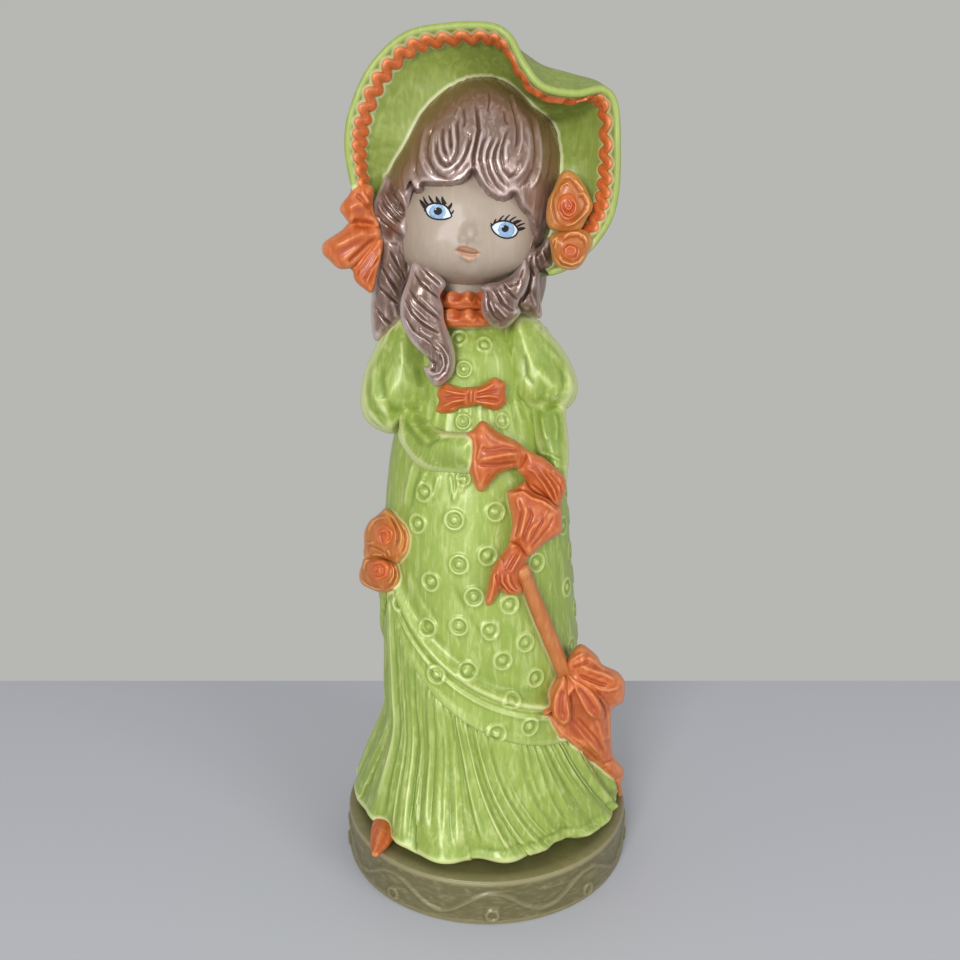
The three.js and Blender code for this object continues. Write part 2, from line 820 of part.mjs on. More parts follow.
function brimRows(count, depths) {
  return Array.from({ length: count + 1 }, (_, i) => {
    const angle = lerp(brimFirst, brimLast, i / count);
    const outer = depths.map((t) => brimPoint(angle, t));
    const inner = [...depths].reverse().map((t) => {
      const inward = brimInward(angle, t);
      if (t === 0) inward.setY(0).normalize();
      return brimPoint(angle, t).addScaledVector(inward, brimWall);
    });
    return [...outer, ...inner];
  });
}

const bonnetBrim = loft(brimRows(36, [0, 0.3, 0.6, 0.85, 1]));

// Rickrack braid: a flat wavy cord just inside the lip
function rickrackRows() {
  const count = 3 * braidWaves;
  return Array.from({ length: count + 1 }, (_, i) => {
    const angle = lerp(brimFirst - braidStart, brimLast + braidEnd, i / count);
    const t = braidPlace + braidSwing * Math.cos((i / count) * 2 * Math.PI * braidWaves);
    const inward = brimInward(angle, t);
    const base = brimPoint(angle, t).addScaledVector(inward, brimWall + braidStandoff);
    const across = brimPoint(angle, t + 0.05).sub(brimPoint(angle, t - 0.05)).normalize();
    return [
      base.clone().addScaledVector(across, -braidWidth / 2),
      base.clone().addScaledVector(across, braidWidth / 2),
      base.clone().addScaledVector(across, braidWidth / 3).addScaledVector(inward, braidDepth),
      base.clone().addScaledVector(across, -braidWidth / 3).addScaledVector(inward, braidDepth),
    ];
  });
}

const rickrack = loft(rickrackRows());

// Bonnet bow on the figure's right
const bowUpperLoop = limb([
  [-41, -22, 262, 2.5, 2.5],
  [-44.5, -23.5, 265, 6.5, 3.2],
  [-50.5, -24, 266, 5, 3],
], { sides: 10, steps: 5 });
const bowLowerLoop = limb([
  [-40, -21, 256, 3, 3],
  [-48, -22.5, 251.5, 6.6, 3.6],
  [-54.5, -22.5, 248.5, 6.6, 3.6],
  [-59, -22, 247.5, 3, 2.4],
], { sides: 10, steps: 6 });
const bowTail = limb([
  [-40.3, -20, 253, 2, 2.4],
  [-42.5, -20.5, 246, 3.8, 2.8],
  [-44, -20.5, 241, 5, 2.8],
  [-44.6, -20.5, 237.5, 4.6, 2],
], { sides: 10, steps: 5 });

// Roses: lobed petals round a bud
function petals(at, radii) {
  return blob({
    at,
    radii,
    around: 15,
    up: 7,
    shape: (way) => 1 + 0.1 * Math.cos(5 * Math.atan2(way.x, way.z)) * (1 - Math.abs(way.y)),
  });
}

function bud(at, radius, depth) {
  return blob({ at, radii: point(radius, depth, radius), around: 10, up: 6 });
}

const roses = {
  bonnet_rose_upper: [point(28, -28, 267.1), point(8.2, 6, 9)],
  bonnet_rose_lower: [point(28.5, -27.5, 251.2), point(7.5, 6, 7)],
  hip_rose_upper: [point(-40.2, -15.5, 141), point(8.8, 6, 9.7)],
  hip_rose_lower: [point(-42, -16, 125), point(8, 6, 7.2)],
};

// Sash bow at the high waist
const sashKnot = blob({ at: point(-6, -25.5, 199), radii: point(2.6, 3.4, 3.6), around: 10, up: 6 });
const sashRightLoop = limb([
  [-6, -25, 199, 2.6, 2.2],
  [-11.6, -25, 198.6, 3.8, 2.8],
  [-17.6, -23.5, 198.2, 5, 2],
], { sides: 8, steps: 4 });
const sashLeftLoop = limb([
  [-6, -25, 199, 2.6, 2.2],
  [-0.5, -25.3, 199.4, 4.2, 2.8],
  [5, -23.8, 200.3, 5, 2],
], { sides: 8, steps: 4 });

const part = new THREE.Group();

function add(name, geometry, [color, roughness]) {
  geometry.computeVertexNormals();
  const mesh = new THREE.Mesh(geometry, new THREE.MeshStandardMaterial({ color, roughness, metalness: 0 }));
  mesh.name = name;
  part.add(mesh);
}

const plinth = makePlinth();
add('plinth', plinth, paint.olive);
add('underskirt', underskirt, paint.lime);
add('overskirt_hem_band', hemBand, paint.lime);
add('overskirt', dottedOverskirt, paint.lime);
add('bodice', bodice, paint.lime);
add('shoe_toe', carve(shoeToe, skirtFill, underskirt), paint.orange);

const dressFill = [bodiceFill, skirtFill];
const frills = [lowerFrill, upperFrill];
add('right_puff_sleeve', carve(rightSleeve, ...dressFill, ...frills), paint.lime);
add('left_puff_sleeve', carve(leftSleeve, ...dressFill, ...frills), paint.lime);
add('right_forearm', carve(rightForearm, rightSleeve, skirtFill), paint.lime);
add('left_forearm', carve(leftForearm, leftSleeve, skirtFill), paint.lime);
add('right_gauntlet', carve(rightGauntlet, rightForearm, skirtFill), paint.orange);
add('right_hand', carve(rightHand, rightGauntlet, leftForearm, skirtFill), paint.orange);
add('left_gauntlet', carve(leftGauntlet, leftForearm, rightHand, skirtFill), paint.orange);
add('left_hand', carve(leftHand, leftGauntlet, parasolShaft, skirtFill), paint.orange);

add('parasol_shaft', carve(parasolShaft, skirtFill), paint.ochre);
add('parasol_canopy', carve(parasolCanopy, parasolShaft, skirtFill), paint.orange);
add('parasol_tip', carve(parasolTip, parasolCanopy, skirtFill, plinth), paint.ochre);
const closed = [parasolCanopy, parasolShaft];
add('parasol_ribbon_left_loop', carve(ribbonLeftLoop, ...closed, skirtFill), paint.orange);
add('parasol_ribbon_right_loop', carve(ribbonRightLoop, ...closed, ribbonLeftLoop), paint.orange);

add('head', head, paint.skin);
add('collar_lower_frill', lowerFrill, paint.orange);
add('collar_upper_frill', carve(upperFrill, skull), paint.orange);

const underRinglets = [head, bodiceFill, ...frills];
const frontRinglets = [rightFrontRinglet, leftFrontRinglet];
const backRinglets = [sideLock, rightBackRinglet, leftBackRinglet];
add('right_front_ringlet', carve(rightFrontRinglet, ...underRinglets), paint.hair);
add('left_front_ringlet', carve(leftFrontRinglet, ...underRinglets), paint.hair);
add('right_side_lock', carve(sideLock, head), paint.hair);
const besideCheek = [head, sideLock, rightFrontRinglet];
add('right_back_ringlet', carve(rightBackRinglet, ...besideCheek, rightSleeve), paint.hair);
add('left_back_ringlet', carve(leftBackRinglet, leftFrontRinglet, leftSleeve, ...underRinglets), paint.hair);
const roundHair = [head, ...frontRinglets, ...backRinglets, bonnetCrown, bonnetBrim];
const onShoulders = [...dressFill, ...frills, rightSleeve, leftSleeve];
add('hair_cap', carve(hairMass, faceWindow, ...roundHair), paint.hair);
add('back_hair', carve(backHair, hairMass, ...roundHair, ...onShoulders), paint.hair);

add('bonnet_crown', bonnetCrown, paint.bonnetLime);
add('bonnet_brim', carve(bonnetBrim, leftBackRinglet, sideLock), paint.bonnetLime);
add('bonnet_rickrack', rickrack, paint.orange);
const besideBow = [bonnetBrim, sideLock];
add('bonnet_bow_lower_loop', carve(bowLowerLoop, ...besideBow, rightBackRinglet), paint.orange);
add('bonnet_bow_upper_loop', carve(bowUpperLoop, ...besideBow, bowLowerLoop), paint.orange);
add('bonnet_bow_tail', carve(bowTail, ...besideBow, bowLowerLoop, rightBackRinglet), paint.orange);

for (const [name, [at, radii]] of Object.entries(roses)) {
  const budAt = at.clone().add(point(0, -radii.y * 0.75, 0));
  const budBody = bud(budAt, radii.x * 0.45, radii.y * 0.5);
  const neighbours = name.startsWith('hip') ? [skirtFill] : [bonnetBrim, leftBackRinglet, head];
  const lower = name.replace('upper', 'lower');
  const others = name === lower ? [] : [petals(...roses[lower])];
  add(`${name}_petals`, carve(petals(at, radii), budBody, ...neighbours, ...others), paint.roseOrange);
  add(`${name}_bud`, budBody, paint.budOrange);
}
add('sash_bow_knot', carve(sashKnot, ...dressFill), paint.orange);
add('sash_bow_right_loop', carve(sashRightLoop, sashKnot, ...dressFill, rightFrontRinglet), paint.orange);
add('sash_bow_left_loop', carve(sashLeftLoop, sashKnot, ...dressFill), paint.orange);

export default part;
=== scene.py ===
import math

import bmesh
import bpy
import numpy as np
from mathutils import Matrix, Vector
from mathutils.bvhtree import BVHTree


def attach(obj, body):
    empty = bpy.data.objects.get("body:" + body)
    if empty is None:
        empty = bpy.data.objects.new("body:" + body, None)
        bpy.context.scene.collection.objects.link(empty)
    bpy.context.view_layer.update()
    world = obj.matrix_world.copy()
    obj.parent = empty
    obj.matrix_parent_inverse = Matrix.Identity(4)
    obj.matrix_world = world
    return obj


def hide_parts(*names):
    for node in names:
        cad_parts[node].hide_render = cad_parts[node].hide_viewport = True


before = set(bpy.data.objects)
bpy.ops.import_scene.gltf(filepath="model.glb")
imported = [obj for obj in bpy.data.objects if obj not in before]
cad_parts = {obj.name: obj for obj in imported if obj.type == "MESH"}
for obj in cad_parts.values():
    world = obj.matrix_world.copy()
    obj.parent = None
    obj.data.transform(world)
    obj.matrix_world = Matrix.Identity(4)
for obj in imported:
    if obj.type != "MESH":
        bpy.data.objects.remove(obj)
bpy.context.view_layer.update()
mm = 0.001
far, tiny = 1e9, 1e-9
print("frame loaded,", len(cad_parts), "nodes")

# camera, at the photograph's viewpoint
cameraSetup = {"eye": (-2.9, -368.5, 262.6), "pitch": 15.5, "lens": 36.0, "sensor": 36.0, "near": 10.0,
               "pixels": 960}

cameraData = bpy.data.cameras.new("camera")
cameraData.lens = cameraSetup["lens"]
cameraData.sensor_width = cameraSetup["sensor"]
cameraData.clip_start = cameraSetup["near"] * mm
camera = bpy.data.objects.new("camera", cameraData)
camera.location = [value * mm for value in cameraSetup["eye"]]
camera.rotation_euler = (math.radians(90 - cameraSetup["pitch"]), 0, 0)
bpy.context.scene.collection.objects.link(camera)
bpy.context.scene.camera = camera

eye = np.array(cameraSetup["eye"])
pitch = math.radians(cameraSetup["pitch"])
forward = np.array((0, math.cos(pitch), -math.sin(pitch)))
upward = np.array((0, math.sin(pitch), math.cos(pitch)))
sideways = np.array((1.0, 0, 0))
focal = cameraSetup["pixels"] * cameraSetup["lens"] / cameraSetup["sensor"]
half = cameraSetup["pixels"] / 2


def pixelOf(points):  # where places on the figure fall in the picture
    way = points - eye
    depth = way @ forward
    return np.stack((half + focal * way[:, 0] / depth, half - focal * (way @ upward) / depth), 1)


def atDepth(pixels, y):  # the place on a pixel's ray at a depth in Y
    across = (pixels[:, 0:1] - half) / focal
    along = (half - pixels[:, 1:2]) / focal
    way = forward + across * sideways + along * upward
    return eye + way * ((y - eye[1]) / way[:, 1])[:, None]


# curves and fields
lineRules = {"reach": 3, "start": (-0.02, 0.2), "end": (-1.02, -0.8)}  # where a drawn line rises and fades, as shares


def smooth(value, low, high):  # 0 below low, 1 above high
    t = np.clip((value - low) / (high - low), 0, 1)
    return t * t * (3 - 2 * t)


def mix(a, b, t):
    return a + (b - a) * t


def bell(value, middle, width):  # 1 at the middle, 0 well away from it
    return np.exp(-((value - middle) / width) ** 2)


def quarter(share):  # a quarter round, from 0 at 0 to 1 at 1
    return np.sqrt(np.maximum(1 - (1 - np.clip(share, 0, 1)) ** 2, 0))


def closed(u, width):  # 1 but for the two ends, where it falls to 0 over a width
    return np.sqrt(np.clip(np.minimum(u, 1 - u) / width, 0, 1))


def unit(ways):
    return ways / np.linalg.norm(ways, axis=1)[:, None]


def between(stations, at):  # smooth values between stations, the first number of each its position
    table = np.array(stations, float)
    if table[0, 0] > table[-1, 0]:
        table = table[::-1]
    x, y = table[:, 0], table[:, 1:]
    last = len(x) - 1
    before = np.maximum(np.arange(last + 1) - 1, 0)
    after = np.minimum(np.arange(last + 1) + 1, last)
    slope = (y[after] - y[before]) / (x[after] - x[before])[:, None]
    at = np.clip(np.asarray(at, float), x[0], x[-1])
    k = np.clip(np.searchsorted(x, at, side="right") - 1, 0, last - 1)
    span = (x[k + 1] - x[k])[:, None]
    t = (at - x[k])[:, None] / span
    rise = t * (1 - t) ** 2 * span * slope[k]
    fall = t * t * (t - 1) * span * slope[k + 1]
    return mix(y[k], y[k + 1], t * t * (3 - 2 * t)) + rise + fall


def catmull(p0, p1, p2, p3, w):  # a curve through four places, at the share w between the second and the third
    def root(a, b):
        return np.maximum(np.sqrt(np.linalg.norm(b - a, axis=1)), 1e-4)[:, None]

    d0, d1, d2 = root(p0, p1), root(p1, p2), root(p2, p3)
    t1 = ((p1 - p0) / d0 - (p2 - p0) / (d0 + d1) + (p2 - p1) / d1) * d1
    t2 = ((p2 - p1) / d1 - (p3 - p1) / (d1 + d2) + (p3 - p2) / d2) * d1
    w = w[:, None]
    c2 = -3 * p1 + 3 * p2 - 2 * t1 - t2
    c3 = 2 * p1 - 2 * p2 + t1 + t2
    return p1 + t1 * w + c2 * w * w + c3 * w ** 3


def alongSpline(points, at):
    points = np.array(points, float)
    last = len(points) - 1
    ringed = np.vstack((2 * points[0] - points[1], points, 2 * points[-1] - points[-2]))
    k = np.clip(np.floor(at * last).astype(int), 0, last - 1)
    return catmull(ringed[k], ringed[k + 1], ringed[k + 2], ringed[k + 3], at * last - k)


def ripple(at, seed):  # slow uneven wave, about -1 to 1
    shift = seed * 1.7
    return (np.sin(at + shift) + 0.6 * np.sin(2.3 * at + 1.9 * shift) + 0.4 * np.sin(4.1 * at - shift)) / 1.6


def crest(at, sharpness):  # ridge wave, 0 to 1, narrow at the top
    return (0.5 + 0.5 * np.cos(at)) ** sharpness


def toPath(pixels, path):  # distance to an open line and the share of the way along it
    best = np.full(len(pixels), far)
    share = np.zeros(len(pixels))
    lengths = np.linalg.norm(path[1:] - path[:-1], axis=1)
    start = 0.0
    for a, b, length in zip(path[:-1], path[1:], lengths):
        t = np.clip(((pixels - a) @ (b - a)) / max(length * length, tiny), 0, 1)
        away = np.linalg.norm(pixels - (a + t[:, None] * (b - a)), axis=1)
        nearer = away < best
        best[nearer] = away[nearer]
        share[nearer] = (start + t[nearer] * length) / lengths.sum()
        start += length
    return best, share


def lineRelief(pixels, lines):  # ridges and grooves drawn in the picture
    total = np.zeros(len(pixels))
    for width, height, *path in lines:
        path = np.reshape(path, (-1, 2)).astype(float)
        margin = lineRules["reach"] * width
        low, high = path.min(0) - margin, path.max(0) + margin
        near = np.all((pixels > low) & (pixels < high), axis=1)
        if near.any():
            away, share = toPath(pixels[near], path)
            ends = smooth(share, *lineRules["start"]) * smooth(-share, *lineRules["end"])
            total[near] += height * ends * bell(away, 0, width)
    return total


def roundOutline(outline, steps=5):
    points = np.reshape(outline, (-1, 2)).astype(float)
    count = len(points)
    k = np.repeat(np.arange(count), steps)
    w = np.tile(np.arange(steps) / steps, count)
    return catmull(points[k - 1], points[k], points[(k + 1) % count], points[(k + 2) % count], w)


def toOutline(pixels, outline):  # signed distance, inside positive, and the nearest place on the outline
    best = np.full(len(pixels), far)
    nearest = np.zeros_like(pixels)
    inside = np.zeros(len(pixels), bool)
    for a, b in zip(outline, np.roll(outline, -1, axis=0)):
        t = np.clip(((pixels - a) @ (b - a)) / max((b - a) @ (b - a), tiny), 0, 1)
        place = a + t[:, None] * (b - a)
        away = np.linalg.norm(pixels - place, axis=1)
        nearer = away < best
        best[nearer] = away[nearer]
        nearest[nearer] = place[nearer]
        crosses = (a[1] > pixels[:, 1]) != (b[1] > pixels[:, 1])
        with np.errstate(divide="ignore", invalid="ignore"):
            cut = (b[0] - a[0]) * (pixels[:, 1] - a[1]) / (b[1] - a[1]) + a[0]
        inside ^= crosses & (pixels[:, 0] < cut)
    return np.where(inside, best, -best), nearest


# meshes
meshRules = {
    "merge": 0.004, "sliver": 0.002, "pixelSize": 0.385,  # the size of a pixel at the figure
    "evening": 0.6, "rounds": 1.7, "fewest": 6, "most": 60, "spacing": 0.05, "reliefLimit": 1.5, "facing": (0.05, 0.4),
    "cutOff": -0.6, "rim": 0.3, "rimRounds": 3, "lineFade": 0.8, "markBlend": 60, "depthSteps": 40, "tubeStep": 0.002,
}


def readPlaces(mesh):
    places = np.empty(len(mesh.vertices) * 3)
    mesh.vertices.foreach_get("co", places)
    return places.reshape(-1, 3) / mm


def writePlaces(mesh, places):
    mesh.vertices.foreach_set("co", (places * mm).ravel())
    mesh.update()


def readNormals(mesh):
    normals = np.empty(len(mesh.vertices) * 3)
    mesh.vertex_normals.foreach_get("vector", normals)
    return normals.reshape(-1, 3)


def edgePairs(mesh):
    pairs = np.empty(len(mesh.edges) * 2, int)
    mesh.edges.foreach_get("vertices", pairs)
    return pairs.reshape(-1, 2)


def relaxed(values, pairs, rounds, held=None):  # values evened out along the edges of a mesh
    share = meshRules["evening"]
    count = len(values)
    flat = values.reshape(count, -1)
    a, b = pairs[:, 0], pairs[:, 1]
    degree = np.maximum(np.bincount(a, minlength=count) + np.bincount(b, minlength=count), 1)
    for _ in range(rounds):
        columns = []
        for column in flat.T:
            total = np.bincount(a, column[b], count) + np.bincount(b, column[a], count)
            columns.append((1 - share) * column + share * total / degree)
        moved = np.stack(columns, 1)
        if held is not None:
            moved[held] = flat[held]
        flat = moved
    return flat.reshape(values.shape)


def writeField(mesh, name, values):
    layer = mesh.attributes.new(name, "FLOAT", "POINT")
    layer.data.foreach_set("value", values.astype(np.float32))


def addRelief(mesh, reach, depth, quiet):  # how far the surface stands above its own surroundings
    places, pairs = readPlaces(mesh), edgePairs(mesh)
    spacing = np.median(np.linalg.norm(places[pairs[:, 0]] - places[pairs[:, 1]], axis=1))
    rounds = meshRules["rounds"] * (reach / max(spacing, meshRules["spacing"])) ** 2
    rounds = int(np.clip(rounds, meshRules["fewest"], meshRules["most"]))
    stands = np.einsum("ij,ij->i", places - relaxed(places, pairs, rounds), readNormals(mesh))
    stands -= np.median(stands)
    if quiet is not None:
        stands *= quiet
    writeField(mesh, "relief", np.clip(stands / depth, -meshRules["reliefLimit"], meshRules["reliefLimit"]))


def facing(mesh):  # 1 where the surface looks at the camera, 0 where it looks away
    way = unit(readPlaces(mesh) - eye)
    return smooth(-np.einsum("ij,ij->i", way, readNormals(mesh)), *meshRules["facing"])


def emboss(mesh, amount):
    writePlaces(mesh, readPlaces(mesh) + readNormals(mesh) * amount[:, None])


def embossLines(mesh, lines):
    emboss(mesh, lineRelief(pixelOf(readPlaces(mesh)), lines) * facing(mesh))


def closeMesh(bm):
    bmesh.ops.remove_doubles(bm, verts=bm.verts, dist=meshRules["merge"] * mm)
    bmesh.ops.dissolve_degenerate(bm, dist=meshRules["sliver"] * mm, edges=bm.edges)
    bare = [edge for edge in bm.edges if edge.is_boundary]
    if bare:
        bmesh.ops.holes_fill(bm, edges=bare, sides=0)
    bmesh.ops.recalc_face_normals(bm, faces=bm.faces)


def meshOf(bm, name):
    mesh = bpy.data.meshes.new(name)
    bm.to_mesh(mesh)
    bm.free()
    return mesh


def treeOf(mesh):
    return BVHTree.FromPolygons([v.co[:] for v in mesh.vertices], [p.vertices[:] for p in mesh.polygons])


def depthUnder(tree, pixels, otherwise):  # how deep a surface lies under each pixel
    start, found = Vector(eye * mm), []
    for (x, y), fallback in zip(pixels, np.broadcast_to(otherwise, len(pixels))):
        way = Vector(forward + (x - half) / focal * sideways + (half - y) / focal * upward).normalized()
        place = tree.ray_cast(start, way)[0]
        found.append(place[1] / mm if place else fallback)
    return np.array(found)


def skin(name, columns, rows, place):  # a grid laid round or along a form, its seams and poles merged
    bm = bmesh.new()
    bmesh.ops.create_grid(bm, x_segments=columns, y_segments=rows, size=0.5)
    mesh = bpy.data.meshes.new(name)
    bm.to_mesh(mesh)
    flat = readPlaces(mesh) * mm
    low, span = flat.min(0), np.ptp(flat, axis=0)
    writePlaces(mesh, place((flat[:, 0] - low[0]) / span[0], (flat[:, 1] - low[1]) / span[1]))
    bm.clear()
    bm.from_mesh(mesh)
    closeMesh(bm)
    bm.to_mesh(mesh)
    bm.free()
    return mesh


def depthBy(marks):  # depth over the picture, blended from marks: a pixel and the depth in Y under it
    marks = np.array(marks, float)

    def depth(at):
        away = ((at[:, None, :] - marks[None, :, :2]) ** 2).sum(2)
        weight = 1 / (away + meshRules["markBlend"]) ** 2
        return (weight * marks[:, 2]).sum(1) / weight.sum(1)

    return depth


def depthAlong(stations):  # depth that follows a line through the piece, given as places on the figure
    stations = np.array(stations, float)
    if len(stations) == 1:
        return lambda at: np.full(len(at), stations[0, 1])
    fine = alongSpline(stations, np.linspace(0, 1, meshRules["depthSteps"]))
    path = pixelOf(fine)
    length = np.append(0, np.cumsum(np.linalg.norm(np.diff(path, axis=0), axis=1)))

    def depth(at):
        _, share = toPath(at, path)
        return np.interp(share * length[-1], length, fine[:, 1])

    return depth


def pillowInto(bm, outline, depth, front, back, roundness, step=0.8, lines=(), even=12, rounded=5):
    # a closed form with an outline in the picture, swelling to the front and to the back of a depth
    edge = roundOutline(outline, rounded) if rounded else np.array(outline, float)
    low, high = edge.min(0) - 2 * step, edge.max(0) + 2 * step
    cells = np.ceil((high - low) / step).astype(int)
    sheet = bmesh.new()
    bmesh.ops.create_grid(sheet, x_segments=int(cells[0]), y_segments=int(cells[1]), size=0.5)
    bmesh.ops.scale(sheet, verts=sheet.verts, vec=(*(high - low), 1))
    bmesh.ops.translate(sheet, verts=sheet.verts, vec=(*((high + low) / 2), 0))
    flat = np.array([vert.co[:2] for vert in sheet.verts])
    reach, _ = toOutline(flat, edge)
    bmesh.ops.delete(sheet, geom=[v for v, d in zip(sheet.verts, reach) if d < meshRules["cutOff"] * step],
                     context="VERTS")
    bmesh.ops.delete(sheet, geom=[v for v in sheet.verts if not v.link_faces], context="VERTS")
    sheet.verts.index_update()
    flat = np.array([vert.co[:2] for vert in sheet.verts])
    reach, nearest = toOutline(flat, edge)
    rim = np.array([vert.is_boundary for vert in sheet.verts]) | (reach < meshRules["rim"] * step)
    flat[rim] = nearest[rim]
    reach = reach * meshRules["pixelSize"]
    height = quarter(np.where(rim, 0, reach) / roundness)
    mesh = bpy.data.meshes.new("sheet")
    sheet.to_mesh(mesh)
    sheet.clear()
    pairs = edgePairs(mesh)
    height = relaxed(height, pairs, even, rim)
    height[rim] = 0
    flat = np.where(rim[:, None], flat, relaxed(flat, pairs, meshRules["rimRounds"], rim))
    relief = lineRelief(flat, lines) * np.clip(reach / meshRules["lineFade"], 0, 1) * ~rim
    middle = depth(flat)
    for at in (middle - front * height - relief, middle + back * height):
        writePlaces(mesh, atDepth(flat, at))
        sheet.from_mesh(mesh)
    sheet.faces.ensure_lookup_table()
    bmesh.ops.reverse_faces(sheet, faces=sheet.faces[len(sheet.faces) // 2:])
    closeMesh(sheet)
    sheet.to_mesh(mesh)
    sheet.free()
    bm.from_mesh(mesh)
    bpy.data.meshes.remove(mesh)


def pillow(name, shape, depth):
    bm = bmesh.new()
    pillowInto(bm, shape["outline"], depth, shape["front"], shape["back"], shape["roundness"],
               shape.get("step", 0.8), shape.get("lines", ()), shape.get("even", 12))
    return meshOf(bm, name)


def tubePlace(stations, front=(0, -1, 0), ends=(0.05, 0.05), swell=None):
    # a tube through stations, each a place and two radii, rounded off over the shares that ends gives
    table = np.array(stations, float)
    share = np.linspace(0, 1, len(table))
    sizes = np.column_stack((share, table[:, 3:5]))
    front = np.array(front, float)

    def place(u, v):
        before, after = np.maximum(v - meshRules["tubeStep"], 0), np.minimum(v + meshRules["tubeStep"], 1)
        centre = alongSpline(table[:, :3], v)
        way = unit(alongSpline(table[:, :3], after) - alongSpline(table[:, :3], before))
        deep = unit(front - way * (way @ front)[:, None])
        wide = np.cross(way, deep)
        size = between(sizes, v)
        close = quarter(v / ends[0]) * quarter((1 - v) / ends[1])
        angle = u * 2 * math.pi
        out = close * (swell(angle, v) if swell else 1)
        return (centre + wide * (np.cos(angle) * size[:, 0] * out)[:, None]
                + deep * (np.sin(angle) * size[:, 1] * out)[:, None])

    return place


def ballPlace(centre, radii, dense=0.0):  # the seam lies at the back, and dense draws the columns to the front
    centre, radii = np.array(centre, float), np.array(radii, float)

    def place(u, v):
        turn = 2 * math.pi * u + dense * np.sin(2 * math.pi * u)
        fall = math.pi * v
        way = np.stack((np.sin(fall) * np.sin(turn), np.sin(fall) * np.cos(turn), np.cos(fall)), 1)
        return centre + way * radii

    return place


# paints
paintRules = {
    "cloudScale": 45.0, "cloudRange": (0.35, 0.7), "fineScale": 700.0, "bumpDistance": 0.3, "coatRough": 0.16,
    "lightStrokes": (0.5, 0.72), "darkStrokes": (0.5, 0.28), "darkShare": 0.6,
    # the hollows take painted shade and the ridges a painted highlight, besides glaze pooled and rubbed thin
    "hollows": (-0.08, -0.8), "ridges": (0.15, 0.9),  # of the relief field
}


def linear(colour):  # a shader's colour from one of 0 to 255
    values = [c / 255 for c in colour]
    return [v / 12.92 if v <= 0.04045 else ((v + 0.055) / 1.055) ** 2.4 for v in values] + [1.0]


def node(tree, kind, inputs=(), **settings):
    made = tree.nodes.new(kind)
    for key, value in settings.items():
        setattr(made, key, value)
    for key, value in dict(inputs).items():
        if isinstance(value, bpy.types.NodeSocket):
            tree.links.new(value, made.inputs[key])
        else:
            made.inputs[key].default_value = value
    return made


def blendColours(tree, factor, first, second):
    made = node(tree, "ShaderNodeMix", data_type="RGBA", clamp_factor=True)
    sockets = {"Factor": made.inputs[0], "A": made.inputs[6], "B": made.inputs[7]}
    for key, value in zip(sockets, (factor, first, second)):
        if isinstance(value, bpy.types.NodeSocket):
            tree.links.new(value, sockets[key])
        else:
            sockets[key].default_value = value
    return made.outputs[2]


def ranged(tree, value, low, high, most):  # 0 at low, most at high
    made = node(tree, "ShaderNodeMapRange", {"Value": value, "From Min": low, "From Max": high,
                                             "To Min": 0.0, "To Max": most}, clamp=True)
    return made.outputs[0]


def noise(tree, vector, scale, detail, **more):
    inputs = {"Vector": vector, "Scale": scale, "Detail": detail, **more}
    return node(tree, "ShaderNodeTexNoise", inputs).outputs["Fac"]


def field(tree, name):
    return node(tree, "ShaderNodeAttribute", attribute_name=name).outputs["Fac"]


def paint(name, base, hollow, ridge, streak=(4.2, 4.2, 0.8), streakShare=0.35, blotch=0.25, rough=0.42, coat=0.15,
          metal=0.0, grain=0.25, ridgeShare=0.8, hollowShare=0.85, **areas):
    # brushed paint under glaze, with strokes of the brush: darker in the hollows, where glaze pools, and as painted
    # shade; paler on the ridges, where the paint is rubbed thin, and as a painted highlight
    material = bpy.data.materials.new(name)
    material.use_nodes = True
    tree = material.node_tree
    shader = tree.nodes["Principled BSDF"]
    coordinates = node(tree, "ShaderNodeTexCoord").outputs["Object"]
    mapping = node(tree, "ShaderNodeMapping", {"Vector": coordinates, "Scale": [100 * s for s in streak]})
    strokes = noise(tree, mapping.outputs[0], 1.0, 4.0, Roughness=0.55, Distortion=0.9)
    clouds = noise(tree, coordinates, paintRules["cloudScale"], 3.0)
    relief = field(tree, "relief")
    hollow, ridge = linear(hollow), linear(ridge)
    colour = linear(base)
    # the relief field darkens the hollows and pales the ridges: painted shade and painted highlight, on top of the
    # pooled and rubbed glaze
    for source, limits, most, tint in (
            (clouds, "cloudRange", blotch, hollow), (strokes, "lightStrokes", streakShare, ridge),
            (strokes, "darkStrokes", paintRules["darkShare"] * streakShare, hollow),
            (relief, "hollows", hollowShare, hollow), (relief, "ridges", ridgeShare, ridge)):
        colour = blendColours(tree, ranged(tree, source, *paintRules[limits], most), colour, tint)
    for attribute, tint in areas.items():
        colour = blendColours(tree, field(tree, attribute), colour, linear(tint))
    tree.links.new(colour, shader.inputs["Base Color"])
    for socket, value in (("Roughness", rough), ("Metallic", metal), ("Coat Weight", coat),
                          ("Coat Roughness", paintRules["coatRough"])):
        shader.inputs[socket].default_value = value
    fine = noise(tree, coordinates, paintRules["fineScale"], 2.0)
    height = node(tree, "ShaderNodeMath", {0: strokes, 1: fine}, operation="ADD").outputs[0]
    bump = node(tree, "ShaderNodeBump",
                {"Height": height, "Strength": grain, "Distance": paintRules["bumpDistance"] * mm})
    tree.links.new(bump.outputs[0], shader.inputs["Normal"])
    return material


